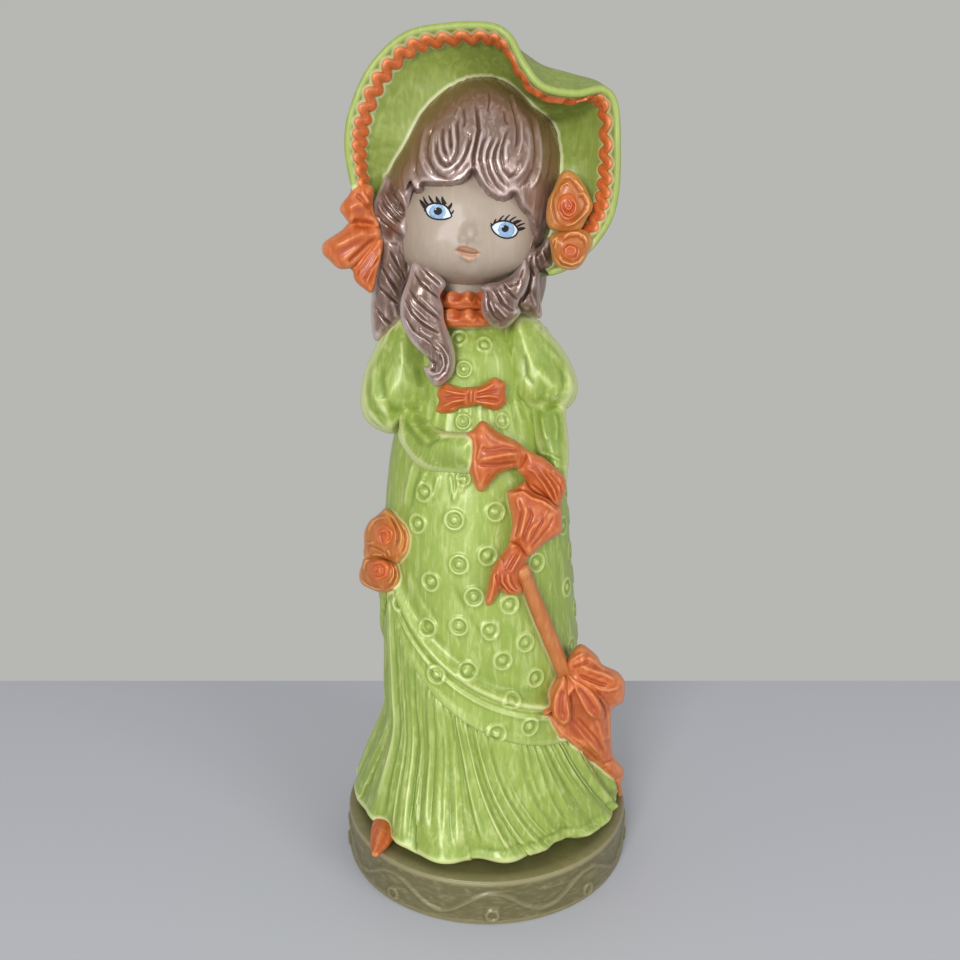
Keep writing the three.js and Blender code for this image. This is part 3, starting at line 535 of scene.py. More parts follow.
paints = {
    "lime": paint("lime pearl", (148, 169, 75), (112, 135, 48), (210, 218, 152), metal=0.08, ridgeShare=0.75,
                  hollowShare=0.85, streakShare=0.45, edge=(214, 216, 160)),
    # painted darker than the dress's lime, as painted shade for the inside of the brim; the whole bonnet uses it
    "bonnet": paint("bonnet lime", (134, 150, 66), (104, 118, 46), (166, 182, 98), ridgeShare=0.4, hollowShare=0.5,
                    edge=(206, 208, 162), streakShare=0.5, rough=0.5, coat=0.08),
    "orange": paint("orange satin", (192, 99, 42), (162, 70, 30), (224, 142, 92), ridgeShare=0.55, streakShare=0.5,
                    edge=(232, 180, 120)),
    "petal": paint("rose petal", (180, 102, 38), (150, 76, 28), (228, 168, 96), ridgeShare=0.62,
                   edge=(236, 196, 130)),
    "bud": paint("rose bud", (202, 104, 42), (166, 68, 30), (226, 136, 84), ridgeShare=0.5),
    # the hair's pale ridge colour is partly a painted highlight, next to the real gloss
    "hair": paint("hair pearl", (138, 113, 102), (94, 66, 52), (214, 196, 192), metal=0.25, rough=0.26,
                  ridgeShare=0.65, hollowShare=0.9, streakShare=0.45, crownPaint=(118, 88, 54), edge=(196, 188, 168)),
    "face": paint("glazed face", (158, 143, 127), (144, 126, 109), (200, 186, 170), rough=0.55, coat=0.14,
                  streakShare=0.12, blotch=0.2, grain=0.05, ridgeShare=0.2, hollowShare=0.45,
                  upperLip=(150, 106, 76), lowerLip=(182, 142, 118)),
    "ochre": paint("parasol stick", (184, 112, 56), (150, 84, 40), (212, 152, 98), ridgeShare=0.4),
    # the plinth's olive also carries a darker painted shade on the top and a pale painted highlight along the rim
    "olive": paint("plinth olive", (108, 102, 68), (84, 78, 44), (150, 142, 102), streak=(2, 2, 6),
                   streakShare=0.5, metal=0.1, ridgeShare=0.5, hollowShare=0.6, topPaint=(90, 87, 50),
                   edge=(158, 150, 112)),
    "eyeWhite": paint("eye white", (206, 214, 222), (186, 200, 212), (224, 230, 234), rough=0.5, coat=0.05, grain=0.05),
    "iris": paint("eye blue", (122, 156, 190), (78, 112, 150), (180, 204, 222), streak=(12, 12, 12), streakShare=0.9,
                  rough=0.5, coat=0.05, grain=0.05),
    "eyeBlack": paint("eye black", (12, 11, 12), (6, 6, 6), (24, 22, 22), rough=0.8, coat=0.0, grain=0.05),
}
made = {}


def finish(name, mesh, coat, slot, *nodes, reach=1.8, depth=0.32, relief=True, quiet=None):
    if relief:
        addRelief(mesh, reach, depth, quiet)
    mesh.materials.append(paints[coat])
    mesh.shade_smooth()
    piece = bpy.data.objects.new(name, mesh)
    bpy.context.scene.collection.objects.link(piece)
    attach(piece, "root")
    if nodes:
        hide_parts(*nodes)
    made[name] = piece


# plinth
plinth = {"radius": 60.0, "height": 19.0, "round": 1.3, "dense": 0.35, "waves": 9, "front": -88.3, "middle": 9.3,
          "swing": 4.6, "line": 0.75, "lineWidth": 1.0, "under": 0.35, "sunk": 0.45,
          "discDrop": 9.4, "ring": 2.2, "ringWidth": 0.8, "ringRise": 0.8, "boss": 0.9, "bossRise": 0.5,
          "bumpAt": 13.4, "bumpWidth": 1.6, "bumpRise": 0.4, "topPaint": 0.7, "rimPaintedHighlight": 0.4}


def plinthPlace(u, v):
    angle = 2 * math.pi * u + math.pi / 2 + plinth["dense"] * np.sin(2 * math.pi * u)
    radius, height, rounding = plinth["radius"], plinth["height"], plinth["round"]
    inset = 0.3 * rounding
    # the section: share of the rows, radius, height
    stops = ((0, 0, 0), (0.05, radius - rounding, 0), (0.09, radius - inset, inset), (0.12, radius, rounding),
             (0.80, radius, height - rounding), (0.83, radius - inset, height - inset),
             (0.86, radius - rounding, height), (1, 0, height))
    shares, radii, heights = zip(*stops)
    r, z = np.interp(v, shares, radii), np.interp(v, shares, heights)
    turn = angle - math.radians(plinth["front"])
    wave = plinth["middle"] + plinth["swing"] * np.cos(plinth["waves"] * turn)
    slope = np.abs(plinth["swing"] * plinth["waves"] / radius * np.sin(plinth["waves"] * turn))
    off = (z - wave) / np.sqrt(1 + slope ** 2)
    rise = plinth["line"] * bell(off, 0, plinth["lineWidth"]) + plinth["under"] * smooth(-off, 0, 2)
    period = 2 * math.pi / plinth["waves"]
    across = radius * (np.mod(turn + period / 2, period) - period / 2)
    away = np.hypot(across, z - (plinth["middle"] + plinth["swing"] - plinth["discDrop"]))
    rise += (plinth["ringRise"] * bell(away, plinth["ring"], plinth["ringWidth"])
             + plinth["bossRise"] * bell(away, 0, plinth["boss"]))
    bump = np.hypot(radius * (np.mod(turn, period) - period / 2), z - plinth["bumpAt"])
    rise += plinth["bumpRise"] * bell(bump, 0, plinth["bumpWidth"])
    rise *= smooth(z, 0.6, 2.0) * smooth(-z, -height + 1.0, -height + 2.4)
    r = r + (rise - plinth["sunk"]) * (v > 0.1) * (v < 0.83)
    return np.stack((r * np.cos(angle), r * np.sin(angle), z), 1)


mesh = skin("plinth", 620, 70, plinthPlace)
places = readPlaces(mesh)
out = np.hypot(places[:, 0], places[:, 1])
# painted shade: the top of the plinth is painted darker than its side
onTop = smooth(-out, -plinth["radius"] + 1.2, -plinth["radius"] + 3) * (places[:, 2] > plinth["height"] - 1)
writeField(mesh, "topPaint", plinth["topPaint"] * onTop)
# painted highlight: a thin pale line along the rounded rim of the top
onRim = np.hypot(out - plinth["radius"] + 0.8, places[:, 2] - plinth["height"] + 0.8)
writeField(mesh, "edge", plinth["rimPaintedHighlight"] * smooth(-onRim, -0.9, -0.3))
finish("plinth_painted", mesh, "olive", "olive_base", "plinth")
print("plinth done")

# dress
dress = {
    "stations": [(19, 0, 55, 45, 48), (24, 0, 57, 49, 51), (36, -0.5, 52, 47, 48), (60, -1, 42, 41, 40),
                 (80, -2, 40.3, 39.5, 38), (100, -2.8, 39.6, 38, 36), (130, -4, 37.8, 35.5, 32),
                 (160, -4.5, 35.3, 31.5, 28), (180, -5.5, 31, 27, 24), (196, -6, 25, 23, 20),
                 (212, -7, 22.5, 21, 17), (223, -8, 16, 15, 13)],
    # the hitch at the hip, and the two curves that fall from it: lowest height, rise, spread in degrees
    "hitch": 205.0, "groove": (62.0, 66.6, 60.5), "band": (53.0, 70.0, 48.0),
    "dense": 0.35, "hem": 19.3, "waist": 196.0,
}


def dressTurn(u):
    return 2 * math.pi * u + math.pi / 2 + dress["dense"] * np.sin(2 * math.pi * u)


def dressAt(angle, z, out=0.0, share=1.0):
    middle, side, front, back = between(dress["stations"], z).T
    deep = np.where(np.sin(angle) < 0, front, back)
    return np.stack((middle + (side + out) * share * np.cos(angle), (deep + out) * share * np.sin(angle), z), 1)


def fromHitch(angle):  # degrees round from the hitch, -180 to 180
    return np.mod(np.degrees(angle) - dress["hitch"] + 540, 360) - 180


def levelAt(angle, curve):
    low, rise, spread = dress[curve]
    return low + rise * np.exp(-np.abs(fromHitch(angle)) / spread)


pleats = {
    "fan": 0.46, "bend": 1.8, "tuck": 1.5, "lip": 3.0, "roll": 1.1, "rollAt": 3.6, "rollWidth": 2.4,
    "seed": 11, "shift": 1 / 6, "turnFrom": 150, "turnTo": 400, "underBand": 3.0, "topTuck": 1.6,
    # shares of the rows that close the form below, run up the skirt, and close it above
    "floorRows": 0.09, "skirtRows": 0.88, "topRows": 0.97, "hemFade": 0.4,
    "sway": 0.18, "swayMore": 0.16, "lowEnds": (0.2, 1.1), "lowSpread": 1.2, "thinUp": 0.6, "thinFrom": (0.4, 0.6),
    "heights": (0.25, 1.5), "heightBend": 1.3, "valley": 0.35, "atTop": 0.6,
    "plain": (325, 28, 2.6), "crease": (0.55, 262, 272), "creaseAt": 7.6, "creaseWidth": 1.3,
    # how many round, height, sharpness, and the share of the skirt above the hem where they run out
    "folds": [(24, 2.7, 0.9, 0.03), (58, 1.3, 1.1, 0.12), (101, 0.75, 1.2, 0.16)],
    "hemOut": [(150, 0), (194, -1.2), (210, -3.2), (230, 0.5), (243, 3.6), (251.5, 5.6), (257, 5.2), (262.3, 2.6),
               (268, 1.2), (276, 2.2), (283.5, 1.9), (292.5, -0.4), (304.5, -4.2), (311, -0.4), (322.5, 0.8),
               (331, 0.4), (341, -1.2), (360, -2.4), (400, -0.6)],
}


def pleatTurn(angle):  # degrees round, from where the hem's own stations start
    return np.mod(np.degrees(angle) - pleats["turnFrom"], 360) + pleats["turnFrom"]


def fanned(angle, share):  # where a fold has run to lower down: the folds fan out from the hitch
    side = np.radians(fromHitch(angle))
    return angle + side * pleats["fan"] * (1 - share) ** pleats["bend"] * (0.5 + 0.5 * np.cos(side))


chance = np.random.RandomState(pleats["seed"]).rand(len(pleats["folds"]), 3, 128)


def pleatRise(angle, share):  # folds of uneven height and width that run out before the hem
    turn = np.radians(fromHitch(angle)) / (2 * math.pi) + 0.5
    total = np.zeros(len(turn))
    middle, wide, more = pleats["plain"]
    plain = 1 + more * bell(pleatTurn(angle), middle, wide)
    for (count, height, sharp, ends), (tall, low, high) in zip(pleats["folds"], chance):
        sway = pleats["sway"] * np.sin(6 * math.pi * turn + count)
        sway = sway + pleats["swayMore"] * np.sin(14 * math.pi * turn + 3 * share)
        at = turn * count + sway * (count / pleats["folds"][0][0]) + pleats["shift"]
        number = np.floor(at).astype(int)
        local, number = at - number, number % count
        ends = ends * plain
        starts, full = pleats["lowEnds"]
        fade = smooth(share, ends * (starts + low[number]), ends * (full + pleats["lowSpread"] * low[number]))
        thins, thin = pleats["thinFrom"]
        fade = fade * (1 - pleats["thinUp"] * smooth(share, thins + high[number], thin + high[number]))
        fold = np.sin(math.pi * local) ** (2 * sharp) - pleats["valley"]
        total += height * mix(*pleats["heights"], tall[number] ** pleats["heightBend"]) * fade * fold
    return total * mix(1.0, pleats["atTop"], share)


def underskirtPlace(u, v):
    angle = dressTurn(u)
    top = levelAt(angle, "band") + pleats["underBand"]
    share = np.clip((v - pleats["floorRows"]) / pleats["skirtRows"], 0, 1)
    z = mix(dress["hem"], top, share)
    lip = np.clip(1 - (z - dress["hem"]) / pleats["lip"], 0, 1)
    rise = pleatRise(angle, share) - pleats["topTuck"] * smooth(z - top, -7, 0)
    angle = fanned(angle, share)
    turned = pleatTurn(angle)
    hemOut = between(pleats["hemOut"], turned)[:, 0] * (1 - smooth(share, 0, pleats["hemFade"]))
    hemOut = hemOut * (turned < pleats["turnTo"])
    rise = rise + hemOut - pleats["tuck"] * lip ** 2
    rise = rise + pleats["roll"] * bell(z - dress["hem"], pleats["rollAt"], pleats["rollWidth"])
    crease, start, full = pleats["crease"]
    crease = crease * smooth(turned, start, full)
    rise = rise - crease * bell(z - dress["hem"], pleats["creaseAt"], pleats["creaseWidth"])
    close = np.where(v < pleats["floorRows"], np.sqrt(np.clip(v / pleats["floorRows"], 0, 1)), 1)
    close = close * (1 - smooth(v, pleats["topRows"], 1.0))
    return dressAt(angle, z, rise, close)


band = {"thick": 1.9, "round": 2.2, "slope": 0.7, "ridge": 0.5, "ridgeAt": 2.4, "ridgeWidth": 0.8, "close": 2.2,
        "inside": -3.0}


def bandPlace(u, v):  # a rolled band, thick below and tucked under the overskirt above
    angle = dressTurn(u)
    low, high = levelAt(angle, "band"), levelAt(angle, "groove")
    share = 0.5 - 0.5 * np.cos(2 * math.pi * v)
    outer = v < 0.5
    z = mix(low, high + 1.0, share)
    span = np.maximum(high - low, 0.1)
    above = share * span
    rise = band["thick"] * quarter(above / band["round"])
    rise = rise - band["slope"] * smooth(above, 2.0, 6.0)
    rise = rise + band["ridge"] * bell(above - span, -band["ridgeAt"], band["ridgeWidth"])
    rise = rise - band["close"] * smooth(above, span - 1.2, span + 0.6)
    return dressAt(angle, z, np.where(outer, rise, band["inside"]))


dots = {
    "ring": 3.4, "ringWidth": 0.75, "ringRise": 0.55, "boss": 1.3, "bossRise": 0.7,
    "hollow": 0.25, "hollowAt": 2.2, "hollowWidth": 0.7, "pit": 0.3, "pitWidth": 0.55, "reach": 8,
    "front": [(236.6, 163), (232.9, 150.8), (257.1, 153.9), (281.8, 157), (276.5, 140.8), (259.9, 137.4),
              (242.5, 129.6), (268, 125.3), (288.2, 121.4), (258.8, 113.6), (276.2, 112), (296.5, 105.6),
              (282.5, 99.7), (263, 96.4), (301.6, 90.5), (285.8, 83.7), (240.1, 111.4), (307, 135.8)],
    "band": [(245.3, 93.4), (276.8, 71.4), (295.4, 72.1), (219.9, 118.1)],
    "bodice": [(288, 216.8), (265, 208.2), (260.6, 219.1)],
    "waist": [(263, 169.1), (263, 189.4), (294, 189.3)],
    "backRows": 6, "backLow": 96.0, "backStep": 12.5, "backTurn": 25.0, "backFrom": -25.0, "backTo": 185.0,
    "backClear": 15.0,
}


def dotRise(places, spots, size=1.0):  # a ring with a boss that has a pit in its middle
    total = np.zeros(len(places))
    for spot in spots:
        near = np.linalg.norm(places - spot, axis=1) / size
        close = near < dots["reach"]
        away = near[close]
        total[close] += dots["ringRise"] * bell(away, dots["ring"], dots["ringWidth"])
        total[close] += dots["bossRise"] * bell(away, 0, dots["boss"])
        total[close] -= dots["hollow"] * bell(away, dots["hollowAt"], dots["hollowWidth"])
        total[close] -= dots["pit"] * bell(away, 0, dots["pitWidth"])
    return total * size


def spotPlaces(spots, out=0.0):
    turned = np.radians([turn for turn, _ in spots])
    return dressAt(turned, np.array([height for _, height in spots], float), out)


def backSpots():  # the dots go on round the back in staggered rows
    spots = []
    for row in range(dots["backRows"]):
        z = dots["backLow"] + dots["backStep"] * row
        turn = dots["backFrom"] + (row % 2) * dots["backTurn"] / 2
        while turn < dots["backTo"]:
            if z > levelAt(np.radians([turn]), "groove")[0] + dots["backClear"]:
                spots.append((turn, z))
            turn += dots["backTurn"]
    return spots


overskirt = {"hem": 2.3, "hemAt": 3.6, "hemWidth": 2.1, "tuck": 0.9, "tuckWidth": 1.2, "groove": 0.5, "grooveAt": 8.4,
             "grooveWidth": 2.0, "uneven": 0.35, "waistTuck": 0.5, "gathers": 40, "gather": 0.35,
             "gatherFrom": (180, 193), "endRows": 0.03, "rows": 0.94}
bodice = {"section": [(0, 195.4, 0), (0.04, 195.4, 1), (0.72, 217, 1), (0.9, 223, 1), (1, 224.5, 0)], "tuck": 0.4}


def overskirtPlace(u, v):
    angle = dressTurn(u)
    low = levelAt(angle, "groove")
    ends, rows = overskirt["endRows"], overskirt["rows"]
    share = np.clip((v - ends) / rows, 0, 1)
    z = mix(low, dress["waist"] + 1.0, share)
    _, rise, spread = dress["groove"]
    slope = rise / spread * np.exp(-np.abs(fromHitch(angle)) / spread) / (math.radians(1) * 39)
    above = (z - low) / np.sqrt(1 + slope ** 2)
    out = overskirt["hem"] * bell(above, overskirt["hemAt"], overskirt["hemWidth"])
    out = out - overskirt["tuck"] * bell(above, 0, overskirt["tuckWidth"])
    out = out - overskirt["groove"] * bell(above, overskirt["grooveAt"], overskirt["grooveWidth"])
    fade = smooth(above, 6, 14) * smooth(-z, -dress["waist"], 20 - dress["waist"])
    out = out + overskirt["uneven"] * ripple(fromHitch(angle) / 14, 3) * fade
    out = out - overskirt["waistTuck"] * smooth(z, 193, 197)
    gather = crest(np.radians(fromHitch(angle)) * overskirt["gathers"] + 1.1 * np.sin(5 * angle), 1.6) - 0.4
    out = out + overskirt["gather"] * gather * smooth(z, *overskirt["gatherFrom"])
    close = np.where(v < ends, v / ends, 1) * np.where(v > 1 - ends, (1 - v) / ends, 1)
    return dressAt(angle, z, out, close)


def bodicePlace(u, v):
    angle = dressTurn(u)
    shares, heights, closes = zip(*bodice["section"])
    z, close = np.interp(v, shares, heights), np.interp(v, shares, closes)
    return dressAt(angle, z, -bodice["tuck"] * smooth(-z, -199, -195), np.sqrt(close))


dressLines = [(2.0, 0.5, 439, 474, 436, 486, 432, 500), (2.2, 0.65, 450, 473, 452, 488, 455, 504), (2.0, 0.55,
    460, 474, 458, 487, 455, 501), (1.8, 0.45, 467, 474, 464, 484, 461, 494), (2.2, 0.6, 415, 459, 411, 474, 407, 492,
    405, 510), (2.4, -0.6, 420, 465, 416, 480, 412, 498, 410, 513), (1.8, 0.4, 426, 470, 421, 483, 419, 493),
    (2.4, -0.45, 453, 584, 462, 605, 475, 626, 489, 650), (3.0, -0.5, 411, 560, 413, 579, 423, 602, 441, 626)]
# name, columns and rows of the grid, form, and the reach and depth of the relief that the paint reads
dressParts = (
    ("underskirt", 640, 120, underskirtPlace, 1.6, 0.42),
    ("overskirt_hem_band", 460, 90, bandPlace, 1.8, 0.5),
    ("overskirt", 360, 250, overskirtPlace, 1.8, 0.5),
    ("bodice", 260, 90, bodicePlace, 1.8, 0.5),
)
for title, columns, rows, shape, reach, depth in dressParts:
    mesh = skin(title, columns, rows, shape)
    if title == "overskirt":
        places = readPlaces(mesh)
        rise = dotRise(places, spotPlaces(dots["front"] + backSpots(), 0.3))
        rise += dotRise(places, spotPlaces(dots["waist"], 0.0), 0.75)
        emboss(mesh, rise)
        embossLines(mesh, dressLines)
    elif title == "overskirt_hem_band":
        emboss(mesh, dotRise(readPlaces(mesh), spotPlaces(dots["band"], 1.4)))
    elif title == "bodice":
        emboss(mesh, dotRise(readPlaces(mesh), spotPlaces(dots["bodice"]), 0.8))
    atWaist = 1 - smooth(-np.abs(readPlaces(mesh)[:, 2] - dress["waist"]), -4, -2)
    finish(title + "_painted", mesh, "lime", "dress_lime", title, reach=reach, depth=depth, quiet=atWaist)
print("dress done")

# sleeves, forearms, gloves
arms = {
    "right_puff_sleeve": {
        "outline": [404, 314, 393, 320, 383, 331, 374, 349, 365, 370, 361, 390, 361, 406, 366, 419, 377, 428,
            394, 434, 400, 424, 410, 417, 424, 413, 434, 407, 441, 396, 440, 376, 434, 356, 427, 338, 416, 322],
        "front": 13.0, "back": 12.0, "roundness": 16.0, "even": 30,
        "through": [(-28, -5, 218), (-32, -7, 205), (-33, -9, 194)],
    },
    "left_puff_sleeve": {
        "outline": [518, 310, 506, 318, 500, 336, 498, 358, 501, 380, 507, 395, 517, 405, 531, 411, 546, 410,
            561, 412, 572, 403, 578, 388, 574, 370, 566, 354, 556, 340, 544, 326, 532, 315],
        "front": 13.0, "back": 12.0, "roundness": 16.0, "even": 30,
        "through": [(14, -5, 220), (20, -6, 208), (22, -9, 196)],
    },
    "right_forearm": {
        "outline": [392, 404, 399, 421, 398, 437, 402, 446, 409, 456, 416, 464, 427, 470, 444, 472, 478, 471,
            480, 452, 476, 434, 454, 432, 441, 430, 433, 424, 428, 412, 412, 400],
        "front": 7.4, "back": 6.0, "roundness": 8.0, "even": 12,
        "through": [(-33, -5, 201), (-31, -10, 192), (-28, -18, 184), (-20, -26.5, 179), (-6, -32, 179.5)],
    },
    "left_forearm": {
        "outline": [529, 398, 531, 415, 533, 432, 536, 448, 542, 462, 548, 477, 552, 490, 564, 488, 568, 470,
            569, 452, 568, 434, 566, 416, 566, 402, 548, 396],
        "front": 6.4, "back": 6.0, "roundness": 7.5, "even": 12,
        "through": [(24, -3, 204), (26, -9, 195), (27, -15, 183), (27, -20, 171)],
    },
}
sleeveLines = [(3.4, 0.38, 378, 360, 374, 375, 374, 393, 380, 406, 390, 418), (4.1, -0.48, 384, 364, 381, 379,
    384, 396, 392, 409, 404, 414), (4.1, -0.33, 418, 364, 421, 382, 419, 399, 415, 411), (3.4, -0.33, 368, 378,
    367, 393, 370, 408, 380, 420), (3.1, 0.29, 400, 338, 404, 368), (3.4, 0.33, 513, 345, 517, 375), (4.1, 0.48,
    535, 364, 544, 375, 550, 387, 546, 402, 532, 407), (3.7, -0.48, 505, 342, 504, 360, 507, 382, 517, 399, 528, 409),
    (3.1, -0.38, 524, 352, 526, 375, 535, 388), (3.4, -0.43, 559, 360, 564, 375, 564, 388, 558, 403, 547, 409),
    (3.1, 0.29, 542, 342, 556, 357, 569, 378, 572, 393), (2, 0.35, 541, 414, 546, 440), (1.8, 0.35, 554, 412,
    557, 426, 556, 440), (1.6, 0.35, 538, 452, 550, 455, 563, 462), (3.4, -0.32, 400, 417, 424, 448), (3, 0.28,
    406, 416, 418, 431, 431, 443), (2.6, -0.24, 424, 448, 436, 440, 452, 438)]
sleeveGather = {"count": 11, "height": 0.55, "ends": (7, 15), "lessInFront": 0.7}
for title, shape in arms.items():
    mesh = pillow(title, shape, depthAlong(shape["through"]))
    places = readPlaces(mesh)
    if "sleeve" in title:  # the cloth is gathered at the shoulder and at the cuff, also round the back
        middle = np.array(shape["through"][1], float)
        way = places - middle
        turn = np.arctan2(way[:, 0], way[:, 1])
        ends = smooth(np.abs(way[:, 2]), *sleeveGather["ends"])
        gather = crest(sleeveGather["count"] * turn + 0.8 * np.sin(3 * turn), 1.3) - 0.4
        shown = 1 - sleeveGather["lessInFront"] * facing(mesh)
        emboss(mesh, sleeveGather["height"] * gather * ends * shown)
    embossLines(mesh, sleeveLines)
    finish(title + "_painted", mesh, "lime", "dress_lime", title, reach=2.2)

gloves = {
    "right_gauntlet": {
        "outline": [467, 433, 473, 429, 481, 421, 486, 422, 497, 431, 518, 442, 528, 452, 526, 459, 523, 465,
            519, 469, 515, 468, 498, 475, 485, 490, 481, 492, 477, 490, 469, 471, 468, 465, 471, 447, 470, 441,
            467, 436],
        "lines": [(2.4, 0.9, 477, 460, 512, 454, 521, 455), (1.2, 0.5, 476, 461, 482, 444), (2, -0.9, 476, 465,
            497, 465, 519, 462), (2.4, -0.6, 477, 448, 488, 450, 504, 448, 519, 450), (1.3, 0.5, 473, 434, 475, 447,
            474, 460, 475, 471, 480, 488), (2.2, 0.5, 483, 425, 493, 437, 506, 443, 519, 447), (2.2, 0.4, 481, 485,
            488, 474, 500, 469)],
        "front": 7.0, "back": 6.0, "roundness": 7.5,
        "through": [(-5.6, -34.5, 179.6), (-1, -34, 179.6), (5.3, -32, 179.6), (11.4, -30.5, 179.7)],
    },
    "right_hand": {
        "outline": [523, 449, 538, 455, 544, 458, 558, 470, 563, 475, 566, 481, 566, 489, 563, 498, 560, 505,
            556, 508, 547, 500, 533, 493, 528, 487, 526, 481, 517, 469, 520, 466, 524, 456],
        "lines": [(1.1, -0.9, 530, 483, 544, 494, 552, 502), (1, -0.9, 538, 474, 546, 483, 552, 493, 556, 504),
            (1, -0.9, 543, 471, 551, 481, 556, 490, 559, 499), (1, -0.9, 548, 470, 556, 480, 561, 487, 562, 496),
            (0.9, -0.8, 554, 471, 561, 478, 564, 485), (1.4, 0.6, 524, 466, 534, 472, 543, 483, 553, 502), (1.2, 0.6,
            537, 466, 547, 478, 554, 489, 557, 499), (1.2, 0.5, 544, 466, 553, 475, 559, 485, 561, 494), (1.1, 0.5,
            552, 469, 559, 476, 563, 484), (1.2, -0.7, 525, 450, 526, 457, 520, 468)],
        "front": 4.6, "back": 4.2, "roundness": 5.0,
        "through": [(9.9, -30.5, 179.2), (14.5, -30, 176.3), (20.8, -29, 170.5), (24.5, -27.5, 165.1)],
    },
    "left_gauntlet": {
        "outline": [507, 492, 509, 490, 515, 488, 525, 481, 528, 486, 533, 492, 548, 499, 558, 507, 560, 505,
            562, 530, 561, 533, 544, 544, 528, 557, 519, 546, 515, 543, 510, 542, 512, 522],
        "lines": [(2.6, 0.9, 524, 502, 526, 512, 519, 541), (1.6, 0.7, 537, 520, 530, 532, 526, 544), (1.4, 0.6,
            549, 507, 544, 516, 537, 525, 533, 531), (1.2, 0.6, 516, 498, 521, 513), (1, -0.7, 519, 499, 521, 511,
            514, 541), (1.2, -0.8, 530, 507, 532, 516, 524, 534, 522, 544), (1.2, -0.8, 543, 512, 542, 522, 529, 546),
            (1.5, -0.6, 554, 515, 549, 527, 530, 549), (1.2, 0.8, 509, 494, 523, 492, 532, 498, 543, 501, 552, 507,
            557, 512), (1.2, -0.8, 510, 491, 519, 489, 526, 490, 534, 495, 544, 499, 553, 504)],
        "front": 6.2, "back": 5.8, "roundness": 6.5,
        "through": [(16.6, -31, 163.3), (16.4, -32, 156.7), (14.5, -33.5, 149.6), (11.9, -35, 144.1)],
    },
    "left_hand": {
        "outline": [510, 541, 515, 542, 519, 545, 524, 551, 528, 557, 526, 563, 523, 568, 520, 573, 519, 581,
            522, 589, 521, 594, 515, 595, 509, 595, 503, 593, 500, 589, 498, 594, 491, 605, 486, 605, 492, 568,
            496, 562, 507, 546],
        "lines": [(1.6, 0.8, 523, 549, 519, 558, 510, 574), (1.2, 0.5, 515, 553, 505, 571), (1, -0.6, 519, 552,
            508, 571), (0.9, -0.9, 499, 574, 500, 584, 505, 590, 511, 594), (0.8, -0.8, 505, 574, 505, 582, 509, 589,
            515, 593), (0.8, -0.8, 510, 574, 512, 582, 516, 588, 520, 591), (0.9, 0.5, 502, 574, 502, 582, 507, 589,
            513, 594), (0.9, 0.5, 508, 574, 509, 582, 512, 588, 518, 592), (1, -1.1, 496, 574, 499, 588), (1, 0.6,
            494, 572, 493, 589, 490, 600), (1, -0.7, 511, 540, 516, 541, 523, 546, 528, 553), (1.2, 0.6, 511, 545,
            518, 545, 525, 553)],
        "front": 4.4, "back": 4.0, "roundness": 4.6,
        "through": [(12.4, -35, 146.2), (9.8, -36.5, 141.2), (7.5, -37.7, 134.3), (8.9, -37.7, 128.2),
                    (3.6, -38, 136.8), (1.7, -38.6, 129.7), (0.4, -38.3, 123.6)],
    },
}
for title, shape in gloves.items():
    mesh = pillow(title, shape, depthAlong(shape["through"]))
    finish(title + "_painted", mesh, "orange", "orange", title, reach=1.4)
print("arms done")

